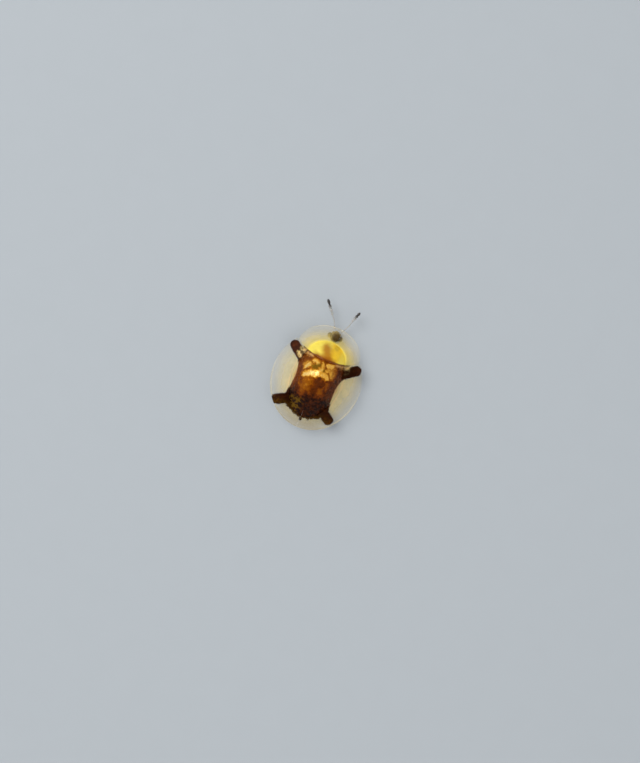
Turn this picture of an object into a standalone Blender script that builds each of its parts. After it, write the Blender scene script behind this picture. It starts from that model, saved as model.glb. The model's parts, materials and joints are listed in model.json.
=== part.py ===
"""Golden tortoise beetle, life size, standing on a flat surface with its legs drawn in.

Named lengths are in millimetres. A place on the body is (forward, right, up): forward from the
middle of the shield towards the head, right towards the beetle's own right side, and up from
the surface that it stands on.
"""

import math
from collections import namedtuple

import bmesh
import bpy
from mathutils import Matrix, Vector

MM = 0.001

Oval = namedtuple("Oval", "middle half_length half_width")
Leg = namedtuple("Leg", "name hip knee ankle toe host")
Finish = namedtuple("Finish", "colour roughness metallic")

# Whole shield, seen from above
SHIELD_LENGTH = 12.0
SHIELD_WIDTH = 10.15
ANTENNA_REACH = 2.6
SHIELD = Oval(0.0, SHIELD_LENGTH / 2, SHIELD_WIDTH / 2)
ELYTRA = Oval(-0.4, SHIELD_LENGTH / 2 - 0.4, SHIELD_WIDTH / 2)
ELYTRA_DISC = Oval(-0.3, 4.4, 2.78)
PRONOTUM = Oval(3.1, SHIELD_LENGTH / 2 - 3.1, 3.65)
PRONOTUM_DISC = Oval(2.55, 1.67, 2.17)
JOINT_DEPTH = 1.03

# Heights of the shield's upper surface
RIM_HEIGHT = 1.6
MARGIN_RISE = 1.55
FRONT_LIFT = 0.35
FRONT_LIFT_FROM = 2.0
HUMP_FORWARD = 0.6
HUMP_BULGE = 1.95
CROWN_ROUNDNESS = 2.3
TUBERCLE_HEIGHT = 0.1
TUBERCLE_RADIUS = 0.6
JOINT_BULGE = 1.45
PRONOTUM_SPREAD = (2.13, 2.3)
DISC_END = 0.17

# How closely the end rows of each grid follow the joint line: a high power bends only the last
DISC_FADE = 3
ELYTRA_MARGIN_FADE = 8
PRONOTUM_MARGIN_FADE = 12
CORNER_SHARE = 0.02

# Thicknesses and gaps
SHELL = 0.5
STEEP_SHELL = 0.75
RIM_SHELL = 0.3
GAP = 0.2
STEEP_GAP = 0.35
FINE_GAP = 0.12

# The four raised bars that run out across the clear margin
FRONT_BAR = ((1.35, 2.35), (2.4, 3.75))
REAR_BAR = ((-3.4, 2.15), (-3.9, 2.95))
BAR_HALF_WIDTH = 0.56
BAR_RELIEF = 0.12
BAR_FOOT = 1.9
BAR_SQUARENESS = 4

# Scutellum, the small triangle between the elytra
SCUTELLUM_TIP = 1.4
SCUTELLUM_HALF_WIDTH = 0.36
SCUTELLUM_TIP_HALF_WIDTH = 0.05

# Underside
SPINE_HEIGHT = 1.15
FLANK_CURVE = 0.32
WIDEST_TRUNK = 2.5
THINNEST = 0.2
PROSTERNUM_DROP = 0.2
PROSTERNUM_SPAN = (2.3, 4.1)
THORAX_SPAN = (-0.95, 2.1)
ABDOMEN_SPAN = (-4.0, -1.15)
STERNITES = 5
STERNITE_BULGE = 0.07
TAIL_TUCK = 0.12

# Head
HEAD_MIDDLE = (5.02, 0.0, 0.9)
HEAD_RADII = (0.62, 0.6, 0.5)
EYE_MIDDLE = (4.95, 0.64, 0.95)
EYE_RADII = (0.31, 0.27, 0.34)
SOCKET = (5.42, 0.36, 1.0)
SOCKET_ROOT = (5.12, 0.36, 0.95)
SOCKET_RADIUS = 0.24
LABRUM = (5.5, 0.0, 0.55)
LABRUM_RADII = (0.2, 0.3, 0.16)
MANDIBLE = (5.35, 0.17, 0.38)
MANDIBLE_RADII = (0.22, 0.15, 0.15)
PALP = ((5.1, 0.32, 0.5), (5.3, 0.5, 0.32), (5.52, 0.45, 0.2))
PALP_RADII = (0.1, 0.1, 0.05)

# Antennae: the points that each one passes through, and the lengths of its eleven joints
ANTENNA_LEFT = ((5.72, -0.4, 1.0), (6.45, -0.72, 1.08), (7.3, -1.4, 1.3), (8.55, -2.43, 1.75))
ANTENNA_RIGHT = ((5.72, 0.4, 1.0), (6.5, 0.86, 1.08), (7.5, 1.15, 1.3), (8.55, 1.5, 1.75))
ANTENNA_JOINTS = (0.45, 0.24, 0.3, 0.3, 0.3, 0.3, 0.33, 0.34, 0.34, 0.34, 0.5)
ANTENNA_RADIUS = 0.2
CLUB_RADIUS = 0.25
CLUB_FROM_JOINT = 4
CLUB_OVER_JOINTS = 3

# Swelling of an antenna's joints: share of the joint's length and share of its radius
JOINT_PROFILE = ((0.0, 0.78), (0.35, 0.95), (0.75, 1.0))
LAST_JOINT_PROFILE = ((0.0, 0.72), (0.3, 1.0), (0.65, 0.8), (0.9, 0.36))

# Legs, with the places given for the right side
LEGS = (
    Leg("front", (2.75, 0.62, 0.88), (2.85, 1.9, 0.9), (2.15, 2.95, 0.4), (2.25, 3.95, 0.0), "prosternum"),
    Leg("middle", (0.8, 0.95, 0.88), (1.5, 2.1, 0.9), (0.05, 2.4, 0.4), (-1.1, 2.45, 0.0), "thorax"),
    Leg("hind", (-0.55, 0.9, 0.88), (-1.95, 2.05, 0.9), (-3.35, 2.55, 0.4), (-4.15, 3.3, 0.0), "thorax"),
)
COXA_RADIUS = 0.33
COXA_HALF_HEIGHT = 0.48
COXA_LIFT = 0.12

# Share of a leg joint's length and its radius there
FEMUR_PROFILE = ((0.0, 0.2), (0.25, 0.27), (0.5, 0.3), (0.8, 0.27), (1.0, 0.24))
TIBIA_PROFILE = ((0.0, 0.19), (0.4, 0.22), (0.85, 0.27), (1.0, 0.24))
KNEE_RADIUS = 0.24
KNEE_TURNS = (35, 65)

# Share of the foot's length, half its width and its height there, and its section in shares of
# both
TARSUS_START = 0.3
TARSUS_PROFILE = (
    (0.0, 0.16, 0.36),
    (0.2, 0.23, 0.36),
    (0.27, 0.17, 0.324),
    (0.45, 0.27, 0.324),
    (0.52, 0.2, 0.288),
    (0.72, 0.34, 0.306),
    (0.88, 0.306, 0.252),
    (1.0, 0.16, 0.216),
)
TARSUS_SECTION = ((1, 0), (1, 0.45), (0.6, 1), (-0.6, 1), (-1, 0.45), (-1, 0))

# Claws: how far each point lies ahead of the foot's end, aside of its middle and up
CLAW_LENGTH = 0.2
CLAW_PATH = ((-0.17, 0.083, 0.105), (0.6 * CLAW_LENGTH, 0.12, 0.14), (CLAW_LENGTH, 0.14, 0.06))
CLAW_RADII = (0.07, 0.056, 0.021)

# Finishes
GOLD = Finish((0.80, 0.50, 0.07), 0.25, 0.85)
DARK_GOLD = Finish((0.42, 0.19, 0.03), 0.3, 0.7)
CLEAR = Finish((0.62, 0.52, 0.33), 0.2, 0.0)
AMBER = Finish((0.55, 0.30, 0.05), 0.4, 0.0)
BROWN = Finish((0.12, 0.05, 0.01), 0.4, 0.0)
BLACK = Finish((0.02, 0.012, 0.008), 0.2, 0.0)


def clear_scene():
    for thing in list(bpy.data.objects):
        bpy.data.objects.remove(thing)


def place(forward, right, up):
    """A place on the body as a point of the beetle's own frame, still in millimetres."""
    return Vector((-right, -forward, up))


def mirrored(point, side):
    return (point[0], point[1] * side, point[2])


def smooth(value):
    """0 below 0, 1 above 1, with a soft step between."""
    step = min(1.0, max(0.0, value))
    return step * step * (3 - 2 * step)


def mix(start, end, share):
    return start + (end - start) * share


def on_oval(oval, angle, inset=0.0):
    """The forward and right places of a point on an oval, angle 0 being its front."""
    forward = oval.middle + (oval.half_length - inset) * math.cos(angle)
    return forward, (oval.half_width - inset) * math.sin(angle)


def share_out(oval, forward, right):
    """0 at the oval's middle and 1 on its line."""
    return math.hypot((forward - oval.middle) / oval.half_length, right / oval.half_width)


# Shape of the shield
def joint_line(right):
    """How far forward the seam between pronotum and elytra runs at a distance from the midline."""
    return PRONOTUM.middle - JOINT_DEPTH * (1 - (right / PRONOTUM.half_width) ** 2)


def elytra_front(right):
    return joint_line(right) - GAP / 2


def pronotum_rear(right):
    return joint_line(right) + GAP / 2


def margin_height(forward, right):
    out = min(1.0, share_out(SHIELD, forward, right))
    span = SHIELD_LENGTH / 2 - FRONT_LIFT_FROM
    lift = FRONT_LIFT * smooth((forward - FRONT_LIFT_FROM) / span)
    return RIM_HEIGHT + MARGIN_RISE * smooth(1 - out) + lift


def ridge(forward):
    """Bulge of the elytra over the margin's level, along the midline."""
    rear = ELYTRA_DISC.middle - ELYTRA_DISC.half_length
    if forward < HUMP_FORWARD:
        share = (HUMP_FORWARD - forward) / (HUMP_FORWARD - rear)
        return HUMP_BULGE * max(0.0, 1 - share**CROWN_ROUNDNESS)
    share = (forward - HUMP_FORWARD) / (joint_line(0) - HUMP_FORWARD)
    return mix(HUMP_BULGE, JOINT_BULGE, smooth(share))


def elytra_height(forward, right):
    along = (forward - ELYTRA_DISC.middle) / ELYTRA_DISC.half_length
    width = ELYTRA_DISC.half_width * math.sqrt(max(1e-6, 1 - along * along))
    crown = max(0.0, 1 - abs(right / width) ** CROWN_ROUNDNESS)
    from_hump = math.hypot(forward - HUMP_FORWARD, right) / TUBERCLE_RADIUS
    tubercle = TUBERCLE_HEIGHT * math.exp(-from_hump * from_hump)
    return margin_height(forward, right) + ridge(forward) * crown + tubercle


def pronotum_height(forward, right):
    along = (forward - joint_line(0)) / PRONOTUM_SPREAD[0]
    across = right / PRONOTUM_SPREAD[1]
    crown = max(0.0, 1 - math.hypot(along, across) ** CROWN_ROUNDNESS)
    return margin_height(forward, right) + JOINT_BULGE * crown


def bar_share(point, start, end):
    """0 on a bar's middle line and 1 on its outline, which is nearly square at the ends."""
    line = Vector(end) - Vector(start)
    from_start = point - Vector(start)
    along = from_start.dot(line) / line.length
    aside = abs(from_start.cross(line)) / line.length
    beyond = max(0.0, -along, along - line.length)
    shares = (beyond / BAR_HALF_WIDTH, aside / BAR_HALF_WIDTH)
    return sum(share**BAR_SQUARENESS for share in shares) ** (1 / BAR_SQUARENESS)


def bar_relief(forward, right):
    """How far the dark bars stand up from the margin."""
    point = Vector((forward, abs(right)))
    nearest = min(bar_share(point, start, end) for start, end in (FRONT_BAR, REAR_BAR))
    return BAR_RELIEF * smooth(BAR_FOOT - nearest)


def elytra_margin_height(forward, right):
    return margin_height(forward, right) + bar_relief(forward, right)


def steepness(height, forward, right):
    """Length of the surface's upright normal: 1 where it is level, more where it slopes."""
    step = 0.01
    along = (height(forward + step, right) - height(forward - step, right)) / (2 * step)
    across = (height(forward, right + step) - height(forward, right - step)) / (2 * step)
    return math.sqrt(1 + along * along + across * across)


def shell_underside(height, forward, right):
    thickness = min(STEEP_SHELL, SHELL * steepness(height, forward, right))
    return height(forward, right) - thickness


def roof_over_trunk(height, forward, right):
    clearance = min(STEEP_GAP, GAP * steepness(height, forward, right))
    return shell_underside(height, forward, right) - clearance


# Making pieces
def finish_material(thing, finish):
    material = bpy.data.materials.new(thing.name)
    material.use_nodes = True
    shader = material.node_tree.nodes["Principled BSDF"]
    shader.inputs["Base Color"].default_value = (*finish.colour, 1.0)
    shader.inputs["Roughness"].default_value = finish.roughness
    shader.inputs["Metallic"].default_value = finish.metallic
    thing.data.materials.clear()
    thing.data.materials.append(material)


def new_piece(name, shape, beetle, finish=None):
    """Turns a bmesh of one closed form into an object that hangs on the beetle's empty."""
    bmesh.ops.recalc_face_normals(shape, faces=shape.faces)
    mesh = bpy.data.meshes.new(name)
    shape.to_mesh(mesh)
    shape.free()
    mesh.shade_smooth()
    thing = bpy.data.objects.new(name, mesh)
    bpy.context.scene.collection.objects.link(thing)
    thing.parent = beetle
    if finish:
        finish_material(thing, finish)
    return thing


def plate(name, beetle, outline, upper, lower, rows, columns, finish):
    """A curved plate: outline(u, v) gives (forward, right), upper and lower give its two heights.

    Both faces are split into triangles alike, and the edges between them stand upright.
    """
    shape = bmesh.new()
    faces = []
    for height in (upper, lower):
        grid = []
        for row in range(rows + 1):
            places = [outline(column / columns, row / rows) for column in range(columns + 1)]
            grid.append([shape.verts.new(place(f, r, height(f, r))) for f, r in places])
        faces.append(grid)
        for row in range(rows):
            for column in range(columns):
                a, b = grid[row][column], grid[row][column + 1]
                c, d = grid[row + 1][column + 1], grid[row + 1][column]
                shape.faces.new((a, b, c))
                shape.faces.new((a, c, d))
    edges = [border(grid) for grid in faces]
    count = len(edges[0])
    for index in range(count):
        following = (index + 1) % count
        top, bottom = edges
        shape.faces.new((top[index], top[following], bottom[following], bottom[index]))
    return new_piece(name, shape, beetle, finish)


def border(grid):
    """The vertices round a grid's edge, in order."""
    right = [row[-1] for row in grid[1:-1]]
    left = [row[0] for row in grid[1:-1]]
    return grid[0] + right + grid[-1][::-1] + left[::-1]


def ellipsoid(name, beetle, middle, radii, finish=None, grow=0.0, segments=16, rings=10):
    shape = bmesh.new()
    bmesh.ops.create_uvsphere(shape, u_segments=segments, v_segments=rings, radius=1.0)
    size = Matrix.Diagonal([r + grow for r in (radii[1], radii[0], radii[2])])
    bmesh.ops.transform(shape, matrix=size.to_4x4(), verts=shape.verts)
    thing = new_piece(name, shape, beetle, finish)
    thing.location = place(*middle)
    return thing


def tube(name, beetle, points, radii, finish=None, sides=10, tip=False):
    """A closed round rod through places on the body, with flat ends or, if tip, a point."""
    shape = bmesh.new()
    path = [place(*point) for point in points]
    rings = []
    for index, middle in enumerate(path):
        before, after = path[max(0, index - 1)], path[min(len(path) - 1, index + 1)]
        turn = (after - before).to_track_quat("Z", "Y")
        ring = []
        for side in range(sides):
            angle = 2 * math.pi * side / sides
            spoke = Vector((math.cos(angle), math.sin(angle), 0)) * radii[index]
            ring.append(shape.verts.new(middle + turn @ spoke))
        rings.append(ring)
    for first, second in zip(rings, rings[1:]):
        for side in range(sides):
            following = (side + 1) % sides
            shape.faces.new((first[side], first[following], second[following], second[side]))
    shape.faces.new(rings[0])
    if tip:
        end = shape.verts.new(path[-1] + (path[-1] - path[-2]).normalized() * radii[-1])
        for side in range(sides):
            shape.faces.new((rings[-1][side], rings[-1][(side + 1) % sides], end))
    else:
        shape.faces.new(rings[-1])
    return new_piece(name, shape, beetle, finish)


def smooth_path(points, share):
    """A place on the soft curve through the points, by share of the way from first to last."""
    spans = len(points) - 1
    index = min(spans - 1, int(share * spans))
    t = share * spans - index
    p1, p2 = Vector(points[index]), Vector(points[index + 1])
    p0 = Vector(points[index - 1]) if index else 2 * p1 - p2
    p3 = Vector(points[index + 2]) if index + 2 <= spans else 2 * p2 - p1
    bend = (2 * p0 - 5 * p1 + 4 * p2 - p3) * t * t + (3 * (p1 - p2) + p3 - p0) * t**3
    return p1 + 0.5 * ((p2 - p0) * t + bend)


def combine(base, pieces, operation):
    """Applies one Boolean of a collection of closed pieces to the base, and removes them."""
    group = bpy.data.collections.new(base.name + "_pieces")
    bpy.context.scene.collection.children.link(group)
    for piece in pieces:
        bpy.context.scene.collection.objects.unlink(piece)
        group.objects.link(piece)
    modifier = base.modifiers.new("combine", "BOOLEAN")
    modifier.operation = operation
    modifier.solver = "EXACT"
    modifier.operand_type = "COLLECTION"
    modifier.collection = group
    bpy.context.view_layer.objects.active = base
    bpy.ops.object.modifier_apply(modifier="combine")
    for piece in pieces:
        bpy.data.objects.remove(piece)
    bpy.data.collections.remove(group)
    keep_largest(base)


def keep_largest(thing):
    """Leaves only the largest closed surface of a mesh."""
    shape = bmesh.new()
    shape.from_mesh(thing.data)
    waiting, islands = set(shape.verts), []
    while waiting:
        island, edge = set(), [waiting.pop()]
        while edge:
            vert = edge.pop()
            island.add(vert)
            linked = {link.other_vert(vert) for link in vert.link_edges} & waiting
            waiting -= linked
            edge.extend(linked)
        islands.append(island)
    largest = max(islands, key=len)
    scraps = [vert for island in islands if island is not largest for vert in island]
    bmesh.ops.delete(shape, geom=scraps, context="VERTS")
    bmesh.ops.triangulate(shape, faces=shape.faces)
    shape.to_mesh(thing.data)
    shape.free()


# Shield
def corner_angle(oval, inset, edge):
    """The angle at which an oval's line crosses a front or rear edge."""
    low, high = 0.1, math.pi / 2 + 0.2
    for _ in range(40):
        middle = (low + high) / 2
        forward, right = on_oval(oval, middle, inset)
        if forward > edge(right):
            low = middle
        else:
            high = middle
    return low


def make_elytron(beetle, word, side):
    first = corner_angle(ELYTRA_DISC, GAP / 2, elytra_front)
    last = math.pi - math.asin(DISC_END / ELYTRA_DISC.half_width)
    base = on_oval(ELYTRA_DISC, first, GAP / 2)[0]
    flare = SCUTELLUM_HALF_WIDTH / (elytra_front(0) - SCUTELLUM_TIP)

    def outline(u, v):
        edge_forward, edge_right = on_oval(ELYTRA_DISC, mix(first, last, v), GAP / 2)
        at_suture = edge_forward + (1 - v) ** DISC_FADE * (elytra_front(0) - base)
        inner = GAP / 2 + flare * max(0.0, at_suture - SCUTELLUM_TIP + GAP / 2)
        right = mix(inner, edge_right, u)
        forward = edge_forward + (1 - v) ** DISC_FADE * (elytra_front(right) - base)
        return forward, right * side

    def underside(forward, right):
        return shell_underside(elytra_height, forward, right)

    plate(f"elytron_{word}", beetle, outline, elytra_height, underside, 20, 8, DARK_GOLD)


def make_elytron_margin(beetle, word, side):
    inner_first = corner_angle(ELYTRA_DISC, -GAP / 2, elytra_front)
    outer_first = corner_angle(ELYTRA, 0, elytra_front)
    last = math.pi - math.asin(GAP / 2 / ELYTRA.half_width)

    def straight(u, v):
        inner = on_oval(ELYTRA_DISC, mix(inner_first, last, v), -GAP / 2)
        outer = on_oval(ELYTRA, mix(outer_first, last, v))
        return mix(inner[0], outer[0], u), mix(inner[1], outer[1], u)

    def outline(u, v):
        forward, right = straight(u, v)
        first_forward, first_right = straight(u, 0)
        forward += (1 - v) ** ELYTRA_MARGIN_FADE * (elytra_front(first_right) - first_forward)
        return forward, max(GAP / 2, right) * side

    def underside(forward, right):
        out = share_out(ELYTRA, forward, right)
        return margin_height(forward, right) - mix(SHELL, RIM_SHELL, smooth(out))

    name = f"elytron_margin_{word}"
    plate(name, beetle, outline, elytra_margin_height, underside, 30, 4, CLEAR)


def make_scutellum(beetle):
    front = elytra_front(0) - GAP / 4

    def outline(u, v):
        width = mix(SCUTELLUM_HALF_WIDTH, SCUTELLUM_TIP_HALF_WIDTH, v)
        return mix(front, SCUTELLUM_TIP, v), mix(-width, width, u)

    def underside(forward, right):
        return elytra_height(forward, right) - SHELL

    plate("scutellum", beetle, outline, elytra_height, underside, 3, 2, DARK_GOLD)


def make_pronotum(beetle):
    first = corner_angle(PRONOTUM_DISC, GAP / 2, pronotum_rear)

    def outline(u, v):
        front, right = on_oval(PRONOTUM_DISC, mix(-first, first, u), GAP / 2)
        return mix(front, pronotum_rear(right), v), right

    def underside(forward, right):
        return shell_underside(pronotum_height, forward, right)

    # The columns close up at both ends, so the outline stops just short of its corners
    def open_outline(u, v):
        return outline(mix(CORNER_SHARE, 1 - CORNER_SHARE, u), v)

    plate("pronotum", beetle, open_outline, pronotum_height, underside, 7, 16, GOLD)


def make_pronotum_margin(beetle):
    inner_first = corner_angle(PRONOTUM_DISC, -GAP / 2, pronotum_rear)
    outer_first = corner_angle(PRONOTUM, 0, pronotum_rear)

    def straight(u, v):
        turn = mix(-1, 1, v)
        inner = on_oval(PRONOTUM_DISC, turn * inner_first, -GAP / 2)
        outer = on_oval(PRONOTUM, turn * outer_first)
        return mix(inner[0], outer[0], u), mix(inner[1], outer[1], u)

    def outline(u, v):
        forward, right = straight(u, v)
        end_forward, end_right = straight(u, round(v))
        fade = abs(mix(-1, 1, v)) ** PRONOTUM_MARGIN_FADE
        return forward + fade * (pronotum_rear(end_right) - end_forward), right

    def underside(forward, right):
        out = share_out(PRONOTUM, forward, right)
        return margin_height(forward, right) - mix(SHELL, RIM_SHELL, smooth(out))

    plate("pronotum_margin", beetle, outline, margin_height, underside, 34, 4, CLEAR)


# Underside
def trunk_piece(beetle, name, span, height, floor, rows, finish):
    """A length of the trunk, as wide as it keeps some thickness under the shield."""

    def roof(forward, right):
        return roof_over_trunk(height, forward, right)

    def half_width(forward):
        low, high = 0.0, WIDEST_TRUNK
        for _ in range(20):
            middle = (low + high) / 2
            if roof(forward, middle) - floor(forward, middle) > THINNEST:
                low = middle
            else:
                high = middle
        return low

    def outline(u, v):
        forward = mix(span[1], span[0], v)
        width = half_width(forward)
        return forward, mix(-width, width, u)

    return plate(name, beetle, outline, roof, floor, rows, 12, finish)


def belly(forward, right):
    return SPINE_HEIGHT + FLANK_CURVE * right * right


def prosternum_belly(forward, right):
    return belly(forward, right) - PROSTERNUM_DROP


def abdomen_belly(forward, right):
    share = (ABDOMEN_SPAN[1] - forward) / (ABDOMEN_SPAN[1] - ABDOMEN_SPAN[0])
    swell = STERNITE_BULGE * math.sin(math.pi * ((share * STERNITES) % 1.0))
    return belly(forward, right) + TAIL_TUCK * share * share - swell


def make_underside(beetle):
    """The three trunk pieces, with the round bosses that the legs turn on."""
    trunk = {
        "prosternum": trunk_piece(
            beetle, "prosternum", PROSTERNUM_SPAN, pronotum_height, prosternum_belly, 8, AMBER
        ),
        "thorax": trunk_piece(beetle, "thorax", THORAX_SPAN, elytra_height, belly, 12, BROWN),
    }
    rows = STERNITES * 4
    trunk_piece(beetle, "abdomen", ABDOMEN_SPAN, elytra_height, abdomen_belly, rows, BROWN)
    for host, piece in trunk.items():
        hips = [mirrored(leg.hip, side) for leg in LEGS if leg.host == host for side in (-1, 1)]
        radii = (COXA_RADIUS, COXA_RADIUS, COXA_HALF_HEIGHT)
        middles = [(hip[0], hip[1], hip[2] + COXA_LIFT) for hip in hips]
        bosses = [ellipsoid("boss", beetle, middle, radii, segments=14) for middle in middles]
        combine(piece, bosses, "UNION")


# Head
def make_head(beetle):
    head = ellipsoid("head", beetle, HEAD_MIDDLE, HEAD_RADII, AMBER, segments=20, rings=12)
    parts = [ellipsoid("labrum", beetle, LABRUM, LABRUM_RADII, segments=12, rings=8)]
    for side in (-1, 1):
        mandible = mirrored(MANDIBLE, side)
        parts.append(ellipsoid("mandible", beetle, mandible, MANDIBLE_RADII, segments=10, rings=6))
        palp = [mirrored(point, side) for point in PALP]
        parts.append(tube("palp", beetle, palp, PALP_RADII, sides=6, tip=True))
        socket = [mirrored(point, side) for point in (SOCKET_ROOT, SOCKET)]
        parts.append(tube("socket", beetle, socket, (SOCKET_RADIUS, SOCKET_RADIUS)))
    combine(head, parts, "UNION")


def make_eye(beetle, word, side):
    eye = ellipsoid(f"eye_{word}", beetle, mirrored(EYE_MIDDLE, side), EYE_RADII, BLACK)
    skull = ellipsoid("skull", beetle, HEAD_MIDDLE, HEAD_RADII, grow=FINE_GAP, segments=20, rings=12)
    combine(eye, [skull], "DIFFERENCE")


def make_antenna(beetle, word, points):
    """Eleven joints, each narrower at its root, thickening into a club."""
    total = sum(ANTENNA_JOINTS)
    shares, radii, walked = [], [], 0.0
    count = len(ANTENNA_JOINTS)
    for index, length in enumerate(ANTENNA_JOINTS):
        club = smooth((index - CLUB_FROM_JOINT) / CLUB_OVER_JOINTS)
        radius = mix(ANTENNA_RADIUS, CLUB_RADIUS, club)
        for step, swell in LAST_JOINT_PROFILE if index == count - 1 else JOINT_PROFILE:
            shares.append((walked + length * step) / total)
            radii.append(radius * swell)
        walked += length
    path = [smooth_path(points, share) for share in shares]
    tube(f"antenna_{word}", beetle, path, radii, AMBER, sides=8, tip=True)


# Legs
def towards(start, end, distance):
    """The place at a distance from start on the way to end."""
    start, end = Vector(start), Vector(end)
    return start + (end - start).normalized() * distance


def make_femur(beetle, name, hip, knee):
    start = towards(hip, knee, COXA_RADIUS + GAP)
    points = [start.lerp(Vector(knee), share) for share, _ in FEMUR_PROFILE]
    radii = [radius for _, radius in FEMUR_PROFILE]
    for angle in KNEE_TURNS:
        turn = math.radians(angle)
        points.append(Vector(knee) + (Vector(knee) - start).normalized() * KNEE_RADIUS * math.sin(turn))
        radii.append(KNEE_RADIUS * math.cos(turn))
    tube(name, beetle, points, radii, AMBER, sides=12)


def make_tibia(beetle, name, knee, ankle):
    start = towards(knee, ankle, KNEE_RADIUS + GAP)
    points = [start.lerp(Vector(ankle), share) for share, _ in TIBIA_PROFILE]
    tube(name, beetle, points, [radius for _, radius in TIBIA_PROFILE], AMBER, sides=12)


def make_tarsus(beetle, name, ankle, toe):
    """Flat-soled foot: two short joints, a wide two-lobed one, and a thin one with two claws."""
    flat_ankle = (ankle[0], ankle[1], 0.0)
    ahead = (Vector(toe) - Vector(flat_ankle)).normalized()
    across = Vector((-ahead[1], ahead[0], 0))
    origin = Vector(flat_ankle) + ahead * TARSUS_START
    sole = Vector(toe) - ahead * CLAW_LENGTH - origin
    shape = bmesh.new()
    rings = []
    for share, half_width, height in TARSUS_PROFILE:
        middle = origin + sole * share
        spots = [middle + across * half_width * x + Vector((0, 0, height * z)) for x, z in TARSUS_SECTION]
        rings.append([shape.verts.new(place(*spot)) for spot in spots])
    for first, second in zip(rings, rings[1:]):
        for index in range(len(first)):
            following = (index + 1) % len(first)
            shape.faces.new((first[index], first[following], second[following], second[index]))
    shape.faces.new(rings[0])
    shape.faces.new(rings[-1])
    foot = new_piece(name, shape, beetle, AMBER)
    end = origin + sole
    claws = []
    for side in (-1, 1):
        points = []
        for forward, aside, up in CLAW_PATH:
            points.append(end + ahead * forward + across * side * aside + Vector((0, 0, up)))
        claws.append(tube("claw", beetle, points, CLAW_RADII, sides=7, tip=True))
    combine(foot, claws, "UNION")


def make_leg(beetle, leg, word, side):
    hip, knee, ankle, toe = (mirrored(spot, side) for spot in (leg.hip, leg.knee, leg.ankle, leg.toe))
    make_femur(beetle, f"femur_{leg.name}_{word}", hip, knee)
    make_tibia(beetle, f"tibia_{leg.name}_{word}", knee, ankle)
    make_tarsus(beetle, f"tarsus_{leg.name}_{word}", ankle, toe)


def make_beetle():
    clear_scene()
    beetle = bpy.data.objects.new("beetle", None)
    bpy.context.scene.collection.objects.link(beetle)
    beetle.location = (0, ANTENNA_REACH / 2 * MM, 0)
    beetle.scale = (MM, MM, MM)
    bpy.context.view_layer.update()
    make_scutellum(beetle)
    make_pronotum(beetle)
    make_pronotum_margin(beetle)
    make_underside(beetle)
    make_head(beetle)
    make_antenna(beetle, "left", ANTENNA_LEFT)
    make_antenna(beetle, "right", ANTENNA_RIGHT)
    for word, side in (("left", -1), ("right", 1)):
        make_elytron(beetle, word, side)
        make_elytron_margin(beetle, word, side)
        make_eye(beetle, word, side)
        for leg in LEGS:
            make_leg(beetle, leg, word, side)


make_beetle()
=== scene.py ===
"""Finished looks of a life-size golden tortoise beetle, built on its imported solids.

A place on the body is (forward, right, up) in millimetres: forward from the middle of the shield
towards the head, right towards the beetle's own right side, and up from the floor. Pieces are
modelled in millimetres and brought into the frame's metres when they are finished.
"""

import json
import math
from collections import namedtuple

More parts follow.
